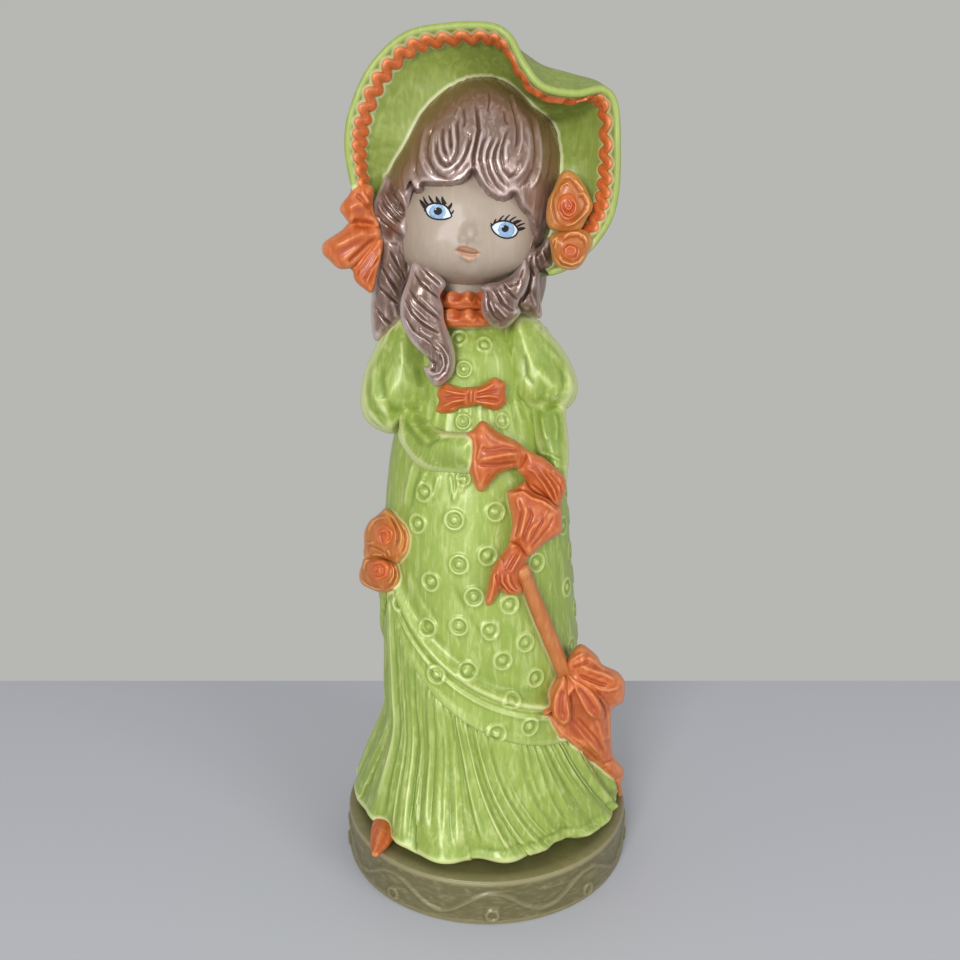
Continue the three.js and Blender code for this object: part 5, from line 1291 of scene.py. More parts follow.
lockShapes = {
    "right_side_lock": {
        "outline": [380, 189, 384, 178, 389, 168, 396, 161, 405, 162, 412, 172, 414, 186, 410.5, 197, 409, 206.8,
            407.2, 220.2, 407.5, 233.5, 409, 246, 402.2, 244, 393, 243, 384, 240, 380.5, 233.5, 375.5, 222.8,
            372, 209.5, 374, 199],
        "lines": [(1, 0.7, 383.2, 191.4, 388.1, 200.7, 394.8, 210.1, 403.5, 218.8), (1, 0.7, 377, 202.1, 381.4, 211.5,
            388.1, 218.2, 397.5, 226.2), (0.8, 0.6, 385, 203.4, 390.4, 208.8, 396.1, 216.8, 401.5, 220.8), (1, -0.9,
            380.1, 197.4, 385.4, 206.8, 392.8, 214.8, 402.2, 224.2), (1, -0.8, 375.4, 213.5, 382.1, 221.5,
            390.1, 228.2, 400.8, 236.2), (1.2, -0.8, 388.8, 188, 396.8, 198.7, 403.5, 209.5, 406.2, 218.8), (1.4, 0.6,
            396.8, 188, 403.5, 197.4, 406.8, 209.5)],
        "front": 3.6, "back": 6.0, "roundness": 5.5,
        "marks": [(376, 206, -19.5), (384, 188, -18.5), (384, 234, -18), (392, 168, -14), (400, 166, -18),
                  (407, 178, -24.5), (398, 240, -21.5), (408, 196, -26.4), (407, 228, -26.6), (393, 212, -21)],
    },
    "right_back_ringlet": {
        "outline": [382, 237, 389, 235, 397, 237, 404, 240, 409, 250, 412, 260, 412, 271, 402, 291, 401, 314,
            399, 323, 376, 341, 371, 314, 372, 295],
        "lines": [(1.1, 0.7, 396, 241, 404, 246, 409, 256, 410, 266, 409, 276), (1, 0.7, 396, 255, 404, 280),
            (1.2, 0.6, 388, 263, 402, 282), (1.2, 0.7, 385, 279, 398, 298), (2.4, 0.6, 392, 300, 398, 319), (1.1, 0.7,
            378, 314, 384, 323, 389, 327), (1.1, -1, 389, 250, 402, 272, 406, 282), (1.1, -1, 381, 266, 389, 279,
            399, 291), (1.1, -1, 378, 286, 400, 306), (1.1, -0.9, 375, 307, 384, 318, 393, 325), (1, -0.8, 402, 250,
            406, 260, 407, 272)],
        "front": 5.5, "back": 5.5, "roundness": 6.5,
        "through": [(-33, -17, 256), (-34.6, -14.5, 248), (-35.3, -11.5, 239), (-35.4, -9, 230), (-38, -8, 221),
                    (-40, -7, 215)],
    },
    "right_front_ringlet": {
        "outline": [413, 262, 421, 263, 432, 268, 441, 276, 446, 284, 440, 296, 443, 307, 444, 319, 452, 341,
            455, 354, 455, 367, 451, 377, 443, 384, 436, 387, 430, 382, 425, 374, 424, 367, 428, 366, 429, 361,
            414, 346, 407, 335, 402, 325, 400, 311, 401, 298, 408, 279],
        "lines": [(1, 0.7, 420, 267, 426, 275, 441, 289), (1, 0.7, 420, 280, 428, 286, 433, 294), (1.1, 0.7, 418, 295,
            440, 316), (1, 0.7, 410, 308, 420, 319, 437, 330), (1, 0.7, 409, 298, 413, 306, 430, 322), (1.4, 0.6,
            419, 329, 425, 334, 433, 338), (1, 0.7, 406, 334, 422, 353, 430, 360), (1.1, 0.9, 418, 334, 437, 349,
            443, 358, 444, 366, 440, 373, 432, 375, 427, 373), (1, 0.8, 434, 339, 443, 348, 448, 356, 449, 364,
            446, 373, 438, 380, 431, 379), (1, -0.9, 413, 271, 421, 284, 441, 300), (1, -1, 408, 287, 416, 300,
            428, 311, 442, 321), (1, -1, 404, 298, 412, 314, 424, 325, 440, 334), (1, -1, 404, 315, 414, 331,
            429, 342, 440, 353, 442, 365), (1.6, -1.2, 426, 357, 435, 363, 434, 370, 428, 369), (0.9, -0.8, 425, 270,
            443, 286)],
        "front": 5.8, "back": 5.5, "roundness": 7.0,
        "through": [(-21.5, -25, 248), (-24, -27.5, 236), (-22.3, -27, 225), (-18.2, -26, 213.5),
                    (-17.8, -25.5, 203.5)],
    },
    "left_front_ringlet": {
        "outline": [481, 288, 486, 284, 504, 280, 516, 270, 525, 256, 528, 263, 530, 273, 528, 284, 524, 294,
            520, 299, 518, 306, 521, 312, 513, 322, 508, 327, 502, 329, 496, 328, 491, 325, 486, 320, 482, 313,
            481, 304, 483, 291],
        "lines": [(1, 0.7, 489, 301, 495, 313), (1.4, 0.7, 494, 304, 508, 319), (1.1, 0.7, 497, 289, 505, 301,
            509, 306), (1.1, -1, 493, 286, 502, 304, 510, 310, 517, 312), (0.9, 0.6, 504, 282, 509, 288, 513, 290),
            (1, -0.9, 503, 282, 506, 289, 512, 295, 516, 299, 521, 296), (1.1, 0.7, 520, 276, 521, 284, 518, 291,
            516, 295), (1, -0.8, 505, 284, 512, 285, 517, 284, 521, 276, 524, 266), (1, -0.8, 486, 288, 489, 307,
            494, 317, 502, 323), (1.6, 0.5, 486, 295, 486, 304, 488, 313)],
        "front": 5.0, "back": 5.0, "roundness": 6.0,
        "through": [(4, -24, 245), (4.9, -26, 238), (5.5, -25, 230.6), (5.5, -22.5, 223.8)],
    },
    "left_back_ringlet": {
        "outline": [525, 256, 532, 249, 539, 247, 549, 237, 551, 243, 551, 254, 553, 262, 552, 268, 544, 271,
            540, 276, 539, 291, 541, 318, 523, 313, 520, 309, 517, 304, 528, 282, 529, 273],
        "lines": [(1.2, 0.8, 545, 245, 542, 251, 546, 262), (1.2, -1, 540, 249, 536, 257, 538, 266, 542, 272),
            (1.2, -0.9, 532, 254, 530, 263, 532, 272, 535, 278), (1.6, 0.7, 535, 254, 534, 262, 535, 268), (2, 0.6,
            524, 306, 526, 309, 530, 309), (1.2, -0.7, 530, 281, 528, 291, 521, 303), (1.4, 0.5, 532, 284, 532, 295,
            538, 309)],
        "front": 5.0, "back": 5.0, "roundness": 6.0,
        "marks": [(530, 256, -24), (547, 244, -22), (548, 264, -20), (534, 280, -19), (534, 300, -15), (522, 300, -17),
                  (530, 314, -12)],
    },
}
for title, shape in lockShapes.items():
    depth = depthBy(shape["marks"]) if "marks" in shape else depthAlong(shape["through"])
    finish(title + "_painted", pillow(title, shape, depth), "hair", "hair", title, reach=1.4)
print("hair done")

# bonnet
bonnet = {
    "wall": 2.6, "join": 6.0, "centre": (-5, 6, 272), "radii": (36.5, 30, 38.5), "opening": 246.0,
    # stations of the brim: angle round the face, a place half way out and a place on the lip
    "brim": [(202, -40, -9, 258, -45, -24, 262), (185, -44, -10, 271, -47.5, -26, 274),
             (168, -44.5, -11, 282.5, -48.6, -28, 285), (150, -41.5, -11, 293.5, -46.5, -29, 296),
             (132, -34, -12, 305.5, -39.5, -30, 309.5), (115, -24.5, -12, 314, -28, -30, 319.5),
             (98, -12.5, -12, 317.5, -14, -30, 322.5), (83, 0, -12, 318, 1, -30, 322.5),
             (73, 7, -12, 317.5, 7.5, -31, 318.5), (64, 12.5, -13, 315, 12, -33, 310),
             (54, 19, -13, 311.5, 18, -34, 303), (45, 28, -13, 309, 28, -33, 301.3),
             (36, 36, -12, 306, 37.5, -31, 303), (26, 41.5, -12, 299, 42.6, -30, 298),
             (12, 43, -12, 285, 44.3, -29, 283), (-4, 42.5, -11, 270, 44.4, -28, 270),
             (-20, 40, -10, 259, 42.3, -27, 260), (-34, 33.5, -9, 249.5, 36.5, -26, 251),
             (-48, 25, -8, 243, 28.8, -25, 244.2), (-60, 18, -8, 239.5, 21.5, -24, 241.2)],
    "first": 202.0, "last": -60.0, "hairMiddle": (476, 200), "spread": 0.3,
    # the edge of the hair under the brim: angle, pixel and depth
    "hairLine": [(202, 375, 212, -19), (185, 380, 188, -18), (168, 391, 164, -15), (150, 405, 141, -16),
                 (132, 420, 113, -14), (115, 441, 91, -11), (98, 468, 77, -7), (83, 492, 75, -6), (73, 503, 79, -6),
                 (64, 513, 84, -6), (54, 524, 94, -6.5), (45, 534, 105, -7), (36, 545, 113, -7), (26, 554, 122, -7),
                 (12, 560, 141, -7), (-4, 561, 165, -8), (-20, 560, 190, -10), (-34, 556, 215, -9),
                 (-48, 545, 246, -6), (-60, 535, 262, -8)],
    "overHair": 2.2, "intoHair": 0.9, "deepest": 3, "dish": 4.0, "crownWall": 3.2,
    # shares of the way round the brim's section, and how far the lining's end is tucked in
    "wallEnd": 0.40, "lipSpan": 0.08, "lipEnd": 0.48, "liningSpan": 0.44, "liningEnd": 0.92, "tuckSpan": 0.08,
    "tuckedIn": 14, "thinned": 0.65, "thinEnd": 0.012, "ripples": (0.5, 0.1, 0.2),
    "braidWaves": 34, "braidReach": 2.7, "braidSwing": 1.2, "braidWidth": 3.7, "braidDepth": 1.1, "braidLift": 0.4,
    "braidBack": 1.0, "foldAt": 50.0, "foldWide": 17.0, "hanging": 0.75, "braidSlant": 0.35, "braidFrom": 190.0,
    "braidTo": -36.0, "braidEnd": 0.006,
}


def brimAt(angle, t):
    station = between(bonnet["brim"], angle)
    turn = np.radians(angle)
    cx, _, cz = bonnet["centre"]
    rx, _, rz = bonnet["radii"]
    root = np.stack((cx + rx * np.cos(turn), np.full(len(turn), bonnet["join"] - 0.05), cz + rz * np.sin(turn)), 1)
    middle, lip = np.hsplit(station, 2)
    lip = lip + bonnet["spread"] * np.stack((np.cos(turn), 0 * turn, 0.25 * np.sin(turn)), 1)
    first = t < 0.5
    local = np.where(first, 2 * t, 2 * t - 1)
    before, after = 2 * root - middle, 2 * lip - middle
    return np.where(first[:, None], catmull(before, root, middle, lip, local), catmull(root, middle, lip, after, local))


def brimInward(angle, t):
    along = brimAt(angle - 1, t) - brimAt(angle + 1, t)
    out = brimAt(angle, np.minimum(t + 0.01, 1)) - brimAt(angle, np.maximum(t - 0.01, 0))
    inward = np.cross(along, out)
    flat = smooth(-t, -0.06, 0)[:, None] * np.array((0, 1.0, 0))
    inward = inward * (1 - flat)
    return unit(inward), unit(out)


# where the lining meets the hair, moved a little in over it
meets = np.array(bonnet["hairLine"], float)
meets[:, 1:3] += bonnet["overHair"] * unit(np.array(bonnet["hairMiddle"], float) - meets[:, 1:3])
hairDepth = depthUnder(treeOf(made["hair_cap_painted"].data), meets[:, 1:3], meets[:, 3])
meets[:, 3] = np.minimum(hairDepth + bonnet["intoHair"], meets[:, 3] + bonnet["deepest"])


def liningAt(angle, reach):  # the inside of the brim: how far in from the lip, in millimetres
    inward, out = brimInward(angle, np.ones(len(angle)))
    lip = brimAt(angle, np.ones(len(angle))) + inward * bonnet["wall"] - out * bonnet["wall"] / 2
    line = between(meets, angle)
    root = atDepth(line[:, :2], line[:, 2])
    span = np.linalg.norm(root - lip, axis=1)
    share = reach / span
    places = lip + (root - lip) * share[:, None]
    places[:, 1] += bonnet["dish"] * 4 * share * (1 - share) * np.clip(span / 30, 0, 1)
    return places, span


def brimPlace(u, v):  # out along the wall, round the lip, then in along the lining and into the hair
    angle = mix(bonnet["first"], bonnet["last"], u)
    core = bonnet["wall"] / 2
    turn = np.clip((v - bonnet["wallEnd"]) / bonnet["lipSpan"], 0, 1) * math.pi
    t = np.minimum(v / bonnet["wallEnd"], 1.0)
    inward, out = brimInward(angle, t)
    thick = 1 - bonnet["thinned"] + bonnet["thinned"] * closed(u, bonnet["thinEnd"])
    inner = -np.cos(turn) * core * thick
    places = (brimAt(angle, t) + inward * (core + inner)[:, None]
              + out * (np.sin(turn) * core * thick - core * smooth(t, 0.9, 1))[:, None])
    share = np.clip((v - bonnet["lipEnd"]) / bonnet["liningSpan"], 0, 1)
    _, span = liningAt(angle, 0.0 * u)
    lining, _ = liningAt(angle, share * span)
    broad, fine, slanting = bonnet["ripples"]
    wave = broad * ripple(angle / 9, 1) + fine * ripple(angle / 2.3, 2) + slanting * ripple(angle / 5 + 4 * share, 5)
    lining[:, 1] += wave * np.sin(math.pi * share) ** 0.7
    lining[:, 1] += bonnet["tuckedIn"] * np.clip((v - bonnet["liningEnd"]) / bonnet["tuckSpan"], 0, 1) ** 2
    return np.where((v > bonnet["lipEnd"])[:, None], lining, places)


finish("bonnet_brim_painted", skin("brim", 420, 130, brimPlace), "bonnet", "bonnet_lime", "bonnet_brim")


def braidFolded(angle):  # the part under the folded brim, where the ribbon hangs down to be seen
    return bell(angle, bonnet["foldAt"], bonnet["foldWide"])


def braidMiddle(u):
    angle = mix(bonnet["braidFrom"], bonnet["braidTo"], u)
    folded = braidFolded(angle)
    wave = np.cos(2 * math.pi * bonnet["braidWaves"] * u)
    reach = bonnet["braidReach"] + bonnet["braidSwing"] * wave * (1 - 0.3 * folded) + 0.2 * folded
    return liningAt(angle, reach)[0]


def braidPlace(u, v):  # a wavy ribbon of even width, rounded on top, that lies on the lining
    base = braidMiddle(u)
    along = braidMiddle(u + 2e-4) - braidMiddle(u - 2e-4)
    angle = mix(bonnet["braidFrom"], bonnet["braidTo"], u)
    reach = np.full(len(u), bonnet["braidReach"])
    inwards = liningAt(angle, reach + 0.7)[0] - liningAt(angle, reach - 0.7)[0]
    normal = unit(np.cross(inwards, liningAt(angle - 0.5, reach)[0] - liningAt(angle + 0.5, reach)[0]))
    normal *= -np.sign(normal[:, 1:2])
    hanging = bonnet["hanging"] * braidFolded(angle)[:, None]
    normal = normal * (1 - hanging) + np.array((0, -1.0, -0.15)) * hanging
    across, inwards = unit(np.cross(along, normal)), unit(inwards)
    inwards *= np.sign((across * inwards).sum(1))[:, None]
    across = mix(across, inwards, bonnet["braidSlant"] * (1 - hanging))
    turn = 2 * math.pi * v
    ends = closed(u, bonnet["braidEnd"])
    wide = bonnet["braidWidth"] / 2 * ends
    high = np.where(np.sin(turn) > 0, bonnet["braidDepth"], bonnet["braidBack"]) * ends
    rise = np.sign(np.sin(turn)) * np.abs(np.sin(turn)) ** 0.7
    return base + across * (wide * np.cos(turn))[:, None] + normal * (high * rise + bonnet["braidLift"])[:, None]


finish("bonnet_rickrack_painted", skin("braid", 1500, 24, braidPlace), "orange", "orange", "bonnet_rickrack",
       reach=1.2)


def crownMesh():  # a rounded shell cut off in front, where the brim starts, and below, over the hair
    bm = bmesh.new()
    bmesh.ops.create_uvsphere(bm, u_segments=220, v_segments=150, radius=1.0)
    cx, cy, cz = (value * mm for value in bonnet["centre"])
    rx, ry, rz = (value * mm for value in bonnet["radii"])
    bmesh.ops.scale(bm, verts=bm.verts, vec=(rx, ry, rz))
    bmesh.ops.translate(bm, verts=bm.verts, vec=(cx, cy, cz))
    cuts = (((0, (bonnet["join"] - 0.02) * mm, 0), (0, -1, 0)), ((0, 0, bonnet["opening"] * mm), (0, 0, -1)))
    for place, way in cuts:
        bmesh.ops.bisect_plane(bm, geom=bm.verts[:] + bm.edges[:] + bm.faces[:], plane_co=place, plane_no=way,
                               clear_outer=True)
    bmesh.ops.recalc_face_normals(bm, faces=bm.faces)
    if sum(face.normal.dot(face.calc_center_median() - Vector((cx, cy, cz))) for face in bm.faces) < 0:
        bmesh.ops.reverse_faces(bm, faces=bm.faces)
    bmesh.ops.solidify(bm, geom=bm.faces[:], thickness=bonnet["crownWall"] * mm)
    bmesh.ops.recalc_face_normals(bm, faces=bm.faces)
    return meshOf(bm, "crown")


finish("bonnet_crown_painted", crownMesh(), "bonnet", "bonnet_lime", "bonnet_crown")

bows = {
    "bonnet_bow_upper_loop": {
        "outline": [352, 186, 350, 193, 341, 205, 340, 210, 343, 215, 350, 223, 357, 223, 379, 227, 378, 220,
            375, 214, 373, 206, 373, 199, 374, 193, 372, 186, 366, 184, 358, 184],
        "lines": [(4.5, 0.8, 346, 210, 355, 205, 372, 201), (2, 0.6, 360, 190, 371, 204), (2, -0.7, 355, 193,
            366, 205, 372, 210), (3, -1.2, 351, 223, 370, 223, 378, 225)],
        "front": 3.2, "back": 3.0, "roundness": 4.5,
        "through": [(-41, -22, 262), (-44.5, -23.5, 265), (-50.5, -24, 266)],
    },
    "bonnet_bow_lower_loop": {
        "outline": [350, 222, 342, 230, 327, 240, 323, 244, 322, 248, 323, 254, 329, 260, 335, 266, 340, 269,
            346, 269, 351, 268, 357, 263, 372, 247, 378, 242, 382, 236, 380, 228, 374, 225, 357, 222],
        "lines": [(5.5, 1.4, 331, 248, 369, 230), (3, 0.5, 339, 263, 362, 245), (2.4, -1, 347, 264, 368, 244,
            378, 237), (2, -0.6, 353, 225, 361, 227, 372, 227)],
        "front": 3.8, "back": 3.4, "roundness": 5.5,
        "through": [(-40, -21, 256), (-48, -22.5, 251.5), (-54.5, -22.5, 248.5), (-59, -22, 247.5)],
    },
    "bonnet_bow_tail": {
        "outline": [350, 267, 353, 272, 354, 278, 357, 283, 363, 288, 372, 293, 377, 275, 383, 239, 378, 237,
            356, 262],
        "lines": [(1.4, 0.8, 378, 244, 361, 268, 358, 278), (1.6, 0.8, 379, 252, 368, 278, 366, 286), (1.4, 0.6,
            374, 242, 355, 267), (1.2, -0.9, 376, 247, 359, 272, 356, 278), (1.2, -0.9, 379, 257, 363, 283),
            (1.2, 0.9, 382, 245, 379, 264, 373, 290)],
        "front": 2.8, "back": 2.6, "roundness": 4.0,
        "through": [(-40.3, -20, 253), (-42.5, -20.5, 246), (-44, -20.5, 241), (-44.6, -20.5, 237.5)],
    },
    "sash_bow_right_loop": {
        "outline": [470.4, 388.1, 459.9, 387.7, 450.9, 384.7, 444.9, 383.9, 438.9, 388.4, 436.8, 394.4, 438.9, 400.4,
            435.9, 410.9, 441.9, 413.3, 452.4, 412.4, 459.9, 407.9, 471.2, 406],
        "lines": [(1.2, 0.7, 465.9, 394.4, 452.4, 392.2, 442.7, 389.9), (1.2, 0.7, 465.9, 399.7, 452.4, 401.9,
            440.4, 407.9), (1.3, -0.7, 466.7, 397.1, 453.9, 397.1, 441.9, 398.9), (1, -0.4, 465.9, 403.4,
            458.4, 404.9, 447.9, 409.4)],
        "front": 2.9, "back": 2.4, "roundness": 3.2,
        "through": [(-6, -25, 199), (-11.6, -25, 198.6), (-17.6, -23.5, 198.2)],
    },
    "sash_bow_left_loop": {
        "outline": [469.7, 406, 477.9, 404.9, 485.4, 407.9, 492.9, 410.3, 498.9, 409.7, 503.4, 405.7, 506.7, 401.2,
            505.5, 392.9, 505.2, 382.4, 501.1, 380.2, 495.1, 377.1, 488.4, 380.9, 479.4, 386.2, 470.4, 388.1],
        "lines": [(1.2, 0.7, 474.9, 392.9, 486.9, 388.4, 495.9, 382.4), (1.2, 0.7, 474.9, 397.4, 488.4, 395.9,
            501.1, 397.4), (1.2, 0.6, 474.9, 401.9, 486.9, 403.4, 497.4, 404.9), (1.2, -0.7, 474.9, 395.2,
            488.4, 392.2, 498.9, 389.9), (1.2, -0.7, 474.9, 399.8, 488.4, 399.8, 500.4, 401.9)],
        "front": 2.9, "back": 2.4, "roundness": 3.2,
        "through": [(-6, -25, 199), (-0.5, -25.3, 199.4), (5, -23.8, 200.3)],
    },
    "sash_bow_knot": {
        "outline": [465, 389, 470, 387, 476, 388, 478, 396, 477, 405, 471, 406, 467, 405, 465, 397],
        "lines": [(1, -0.6, 469, 389, 468, 397, 469, 405), (1, -0.6, 474, 389, 473, 405)],
        "front": 3.4, "back": 3.0, "roundness": 2.6,
        "through": [(-6, -25.8, 199)],
    },
}
for title, shape in bows.items():
    mesh = pillow(title, shape, depthAlong(shape["through"]))
    finish(title + "_painted", mesh, "orange", "orange", title, reach=1.3)
print("bonnet and bows done")

# roses
roses = {
    "hip_rose_upper": {"at": (-40.2, -15.5, 141), "turned": (0.75, 0.75), "petals": {
        "outline": [384.3, 508.4, 389.9, 510.4, 394.1, 513.9, 398.3, 518.1, 405.4, 524.4, 408.9, 531.4, 410.8, 539.1,
            409.9, 547.5, 406.8, 555.3, 401.1, 560.2, 397.3, 563.7, 393.4, 562.3, 388.5, 560.2, 380.1, 559.1,
            371.7, 558.4, 365.4, 558.8, 363.4, 553.2, 364.1, 546.1, 363.8, 539.1, 364.3, 532.1, 366.8, 525.1,
            370.3, 520.2, 375.9, 516, 380.8, 511.8],
        "lines": [(1.1, 0.8, 368.2, 533.5, 369.2, 527.2, 373.1, 520.9, 378.7, 518.1, 386.4, 517), (1, 0.8,
            389.9, 513.2, 394.1, 518.8, 397.6, 524.4, 400.8, 531.4, 401.3, 539.1, 399.7, 545.4, 395.9, 551.1),
            (1.2, -0.8, 388.5, 514.6, 392.7, 520.2, 395.5, 526.5, 397.6, 533.5, 397.6, 540.5, 394.1, 547.5), (1, 0.7,
            401.1, 520.9, 406.1, 527.9, 408.5, 534.9, 409.2, 541.9), (1.1, -0.7, 401.1, 525.1, 404.6, 532.1,
            405.7, 539.1, 404.6, 547.5, 400.4, 555.3), (0.9, 0.8, 365.4, 544, 369.6, 543.3, 373.8, 542.3), (0.9, 0.7,
            387.1, 549.6, 389.2, 553.9, 389.9, 557.4), (1, -0.7, 366.1, 546.1, 373.1, 546.1, 380.1, 549.6,
            385.7, 553.2, 388.5, 558.1), (1, 0.7, 371.7, 554.9, 377.3, 554.9, 382.9, 555.6)],
    }, "bud": {
        "outline": [374, 534, 375, 528, 379, 524, 384, 523, 390, 526, 394, 531, 394, 536, 391, 542, 388, 546,
            384, 547, 376, 542, 374, 538],
        "lines": [(0.9, 0.6, 379, 533, 384, 530, 387, 532, 388, 536), (0.9, -0.6, 382, 532, 381, 536, 382, 541,
            384, 543), (0.9, -0.5, 387, 529, 390, 534, 390, 539, 386, 543), (0.8, 0.4, 377, 532, 377, 538,
            379, 543)],
    }},
    "hip_rose_lower": {"at": (-42, -16, 125), "turned": (0.7, 0.6), "petals": {
        "outline": [363.8, 558.4, 368.2, 557.5, 374.5, 557, 381.5, 557.7, 388.5, 559.5, 394.1, 562.3, 397.5, 564.4,
            398.9, 569.3, 400.9, 576.3, 399.9, 582.6, 396.9, 588.2, 391.3, 591.8, 385, 592.9, 376.6, 591.5,
            368.9, 588.2, 362.5, 584.7, 359.4, 579.1, 359.2, 572.8, 361.4, 565.8, 362.5, 560.9],
        "lines": [(1, 0.8, 363.4, 570.7, 363.8, 565.1, 366.1, 560.2, 370.3, 558.4), (1, 0.7, 390.6, 563.7,
            393.8, 569.3, 393.4, 576.3, 389.9, 581.9, 387.1, 585.4), (1, 0.6, 394.1, 564.4, 397.3, 571.4,
            397.3, 579.8), (1.1, -0.8, 391.3, 560.9, 395.5, 568.6, 395.5, 577, 392, 584.7, 386.4, 588.9), (1.1, -0.7,
            361.8, 577, 366.1, 583.3, 373.1, 586.8, 380.1, 587.5), (1, 0.7, 361.1, 580.5, 367.5, 586.1, 375.9, 589.6,
            382.9, 590.4)],
    }, "bud": {
        "outline": [367, 568, 369, 563, 374, 560, 380, 559, 386, 561, 390, 566, 390, 571, 388, 577, 383, 580,
            377, 582, 372, 579, 368, 574],
        "lines": [(1.1, 0.5, 373, 571, 375, 569, 379, 569, 379, 572, 377, 574), (1, -0.5, 371, 570, 374, 565,
            380, 564, 384, 568, 384, 574, 380, 577, 374, 576, 371, 574)],
    }},
    "bonnet_rose_upper": {"at": (28, -28, 267.1), "turned": (0, 0), "petals": {
        "outline": [562, 172, 568, 170, 575, 173, 585, 186, 592, 202, 593, 206, 591, 212, 587, 218, 581, 229,
            575, 232, 552, 230, 548, 226, 546, 218, 548, 200, 552, 192],
        "lines": [(1, 0.8, 559, 192, 562, 186, 567, 183, 570, 186), (0.9, 0.7, 575, 179, 585, 191), (1, 0.8, 577, 194,
            584, 193, 588, 197, 590, 204, 588, 211, 575, 223, 568, 226, 562, 223), (1.1, -0.8, 576, 196, 583, 197,
            586, 203, 584, 210, 579, 216, 572, 221, 566, 222), (0.9, 0.6, 552, 196, 550, 210), (1.2, -0.7, 557, 189,
            553, 198, 553, 208, 555, 218, 560, 226), (1.1, -0.7, 562, 179, 570, 179, 576, 186, 580, 192)],
    }, "bud": {
        "outline": [556, 207, 558, 199, 562, 194, 568, 192, 574, 194, 580, 207, 579, 214, 574, 219, 568, 222,
            562, 220, 558, 214],
        "lines": [(0.9, 0.6, 566, 199, 569, 200, 572, 205, 570, 209, 567, 209, 566, 206), (0.9, -0.6, 564, 201,
            563, 207, 566, 212, 572, 212, 574, 206, 572, 200), (0.9, 0.6, 562, 206, 564, 213, 569, 216, 575, 212,
            576, 205, 573, 198), (0.9, -0.5, 560, 203, 560, 211, 565, 217, 572, 218)],
    }},
    "bonnet_rose_lower": {"at": (28.5, -27.5, 251.2), "turned": (0, 0), "petals": {
        "outline": [551, 235, 570, 230, 578, 229, 584, 230, 589, 234, 592, 239, 592, 245, 587, 256, 583, 263,
            578, 268, 572, 270, 563, 269, 557, 266, 553, 261, 550, 245, 549, 240],
        "lines": [(1, 0.7, 552, 246, 553, 240, 557, 237, 554, 251), (1, 0.7, 563, 237, 570, 232, 578, 232, 585, 236,
            588, 243), (1, -0.7, 562, 241, 570, 236, 578, 236, 584, 241, 586, 249), (1, 0.8, 558, 256, 563, 262,
            572, 265, 580, 262, 586, 254), (1, -0.7, 556, 258, 562, 265, 572, 267, 581, 264)],
    }, "bud": {
        "outline": [560, 252, 562, 246, 568, 242, 575, 244, 580, 248, 581, 253, 578, 259, 573, 263, 567, 261,
            562, 258],
        "lines": [(1, 0.6, 566, 254, 565, 249, 570, 246, 575, 248, 576, 252, 572, 255, 568, 255), (0.9, -0.6,
            564, 255, 563, 249, 568, 244, 576, 245, 578, 251, 576, 257, 570, 259)],
    }},
}
roseForm = {"petals": {"front": 6.0, "back": 6.0, "roundness": 5.5, "step": 0.6},
            "bud": {"front": 3.0, "back": 3.0, "roundness": 3.0, "step": 0.5}, "budAhead": 5.1}
for title, rose in roses.items():
    x, y, z = rose["at"]
    left, right = rose["turned"]
    line = np.array([(x - 8, y + 8 * left, z), (x, y, z), (x + 10, y - 10 * right, z)])
    petals = pillow(title, {**rose["petals"], **roseForm["petals"]}, depthAlong(line))
    finish(title + "_petals_painted", petals, "petal", "rose_orange", title + "_petals", reach=1.1)
    bud = pillow(title + " bud", {**rose["bud"], **roseForm["bud"]}, depthAlong(line - (0, roseForm["budAhead"], 0)))
    finish(title + "_bud_painted", bud, "bud", "bud_orange", title + "_bud", reach=1.0)
print("roses done")

# bare edges: a thin pale line is left in the lime wherever another colour starts
edges = {"wide": 0.55, "near": 1.3, "paint": 0.75, "none": 9.0,
         "notBeside": ("skirt", "bodice", "sleeve", "forearm", "brim", "crown", "plinth", "eye"),
         "on": ("underskirt", "overskirt", "overskirt_hem_band", "bodice", "right_puff_sleeve", "left_puff_sleeve",
                "right_forearm", "left_forearm", "bonnet_brim")}
border = bmesh.new()
for title, piece in made.items():
    if not any(word in title for word in edges["notBeside"]):
        border.from_mesh(piece.data)
borderTree = BVHTree.FromBMesh(border)
border.free()
for title in edges["on"]:
    mesh = made[title + "_painted"].data
    away = np.full(len(mesh.vertices), edges["none"])
    for vert in mesh.vertices:
        found = borderTree.find_nearest(vert.co, edges["near"] * mm)
        if found[0]:
            away[vert.index] = found[3] / mm
    writeField(mesh, "edge", edges["paint"] * smooth(-away, -edges["near"], -edges["wide"]))
print("edges done")

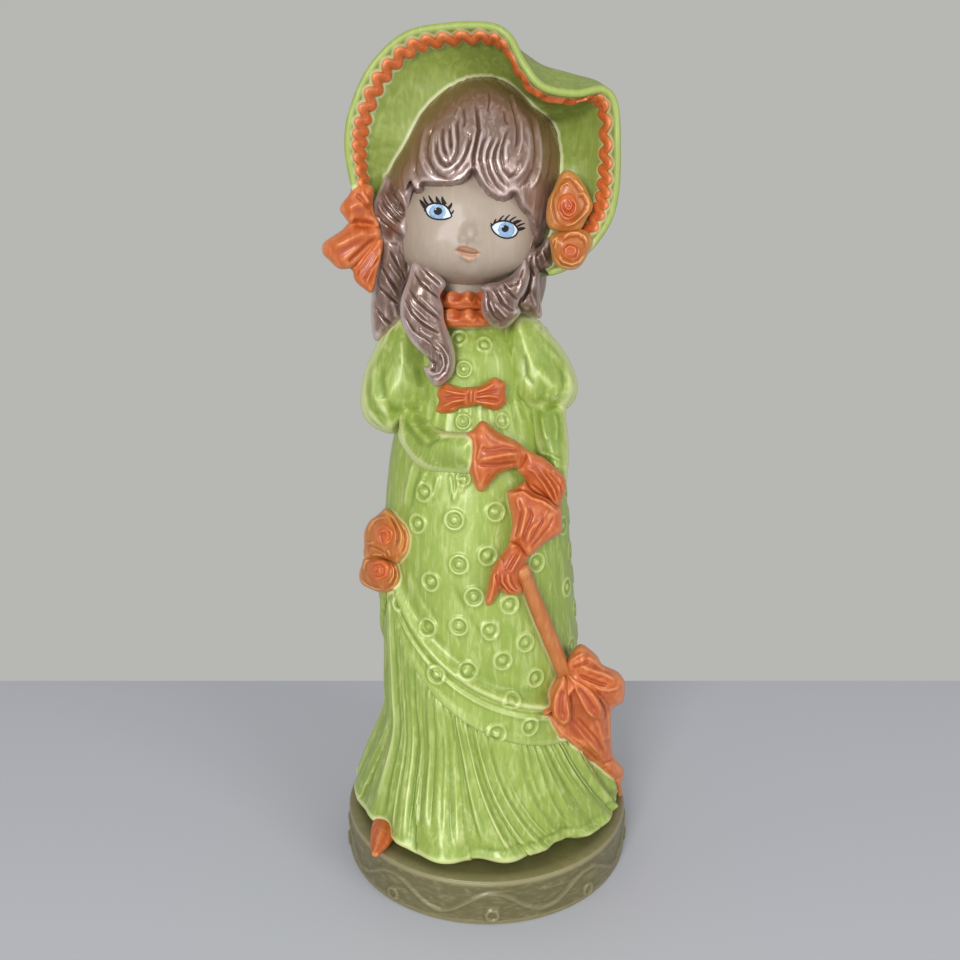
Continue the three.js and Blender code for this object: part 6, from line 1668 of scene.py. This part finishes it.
# floor and light
# lamps in metres and watts, the table's width and depth in metres
studio = {"floor": (194, 196, 203), "wall": (183, 183, 180), "tableBack": 140.0, "table": (4.0, 1.6), "rough": 0.7,
          "ambient": 0.46, "lookAt": (0, 0, 0.17),
          "key": {"at": (-0.3, -1.05, 0.44), "size": 0.36, "power": 8.4},
          "fill": {"at": (0.75, -0.75, 0.45), "size": 0.45, "power": 3.4},
          "spark": {"at": (-0.22, -1.0, 0.62), "size": 0.06, "power": 0.6}}

bm = bmesh.new()
bmesh.ops.create_grid(bm, x_segments=1, y_segments=1, size=0.5)
bmesh.ops.scale(bm, verts=bm.verts, vec=(*studio["table"], 1))
bmesh.ops.translate(bm, verts=bm.verts, vec=(0, studio["tableBack"] * mm - studio["table"][1] / 2, 0))
floorMesh = meshOf(bm, "floor")
floor = bpy.data.objects.new("floor", floorMesh)
bpy.context.scene.collection.objects.link(floor)
floorPaint = bpy.data.materials.new("table top")
floorPaint.use_nodes = True
floorShader = floorPaint.node_tree.nodes["Principled BSDF"]
floorShader.inputs["Base Color"].default_value = linear(studio["floor"])
floorShader.inputs["Roughness"].default_value = studio["rough"]
floorMesh.materials.append(floorPaint)

for title in ("key", "fill", "spark"):
    lamp = bpy.data.lights.new(title, "AREA")
    lamp.size = studio[title]["size"]
    lamp.energy = studio[title]["power"]
    light = bpy.data.objects.new(title, lamp)
    light.location = studio[title]["at"]
    light.rotation_euler = (Vector(studio["lookAt"]) - light.location).to_track_quat("-Z", "Y").to_euler()
    bpy.context.scene.collection.objects.link(light)

world = bpy.data.worlds.new("studio")
bpy.context.scene.world = world
world.use_nodes = True
tree = world.node_tree
tree.nodes.clear()
path = node(tree, "ShaderNodeLightPath")
seen = node(tree, "ShaderNodeMath", {0: path.outputs["Is Camera Ray"], 1: path.outputs["Is Glossy Ray"]},
            operation="MAXIMUM")
wall = node(tree, "ShaderNodeBackground", {"Color": linear(studio["wall"]), "Strength": 1.0})
soft = node(tree, "ShaderNodeBackground", {"Color": (1, 1, 1, 1), "Strength": studio["ambient"]})
mixed = node(tree, "ShaderNodeMixShader", {0: seen.outputs[0], 1: soft.outputs[0], 2: wall.outputs[0]})
node(tree, "ShaderNodeOutputWorld", {"Surface": mixed.outputs[0]})
bpy.context.scene.view_settings.view_transform = "Standard"
print("studio done,", sum(len(p.data.polygons) for p in made.values()), "faces")
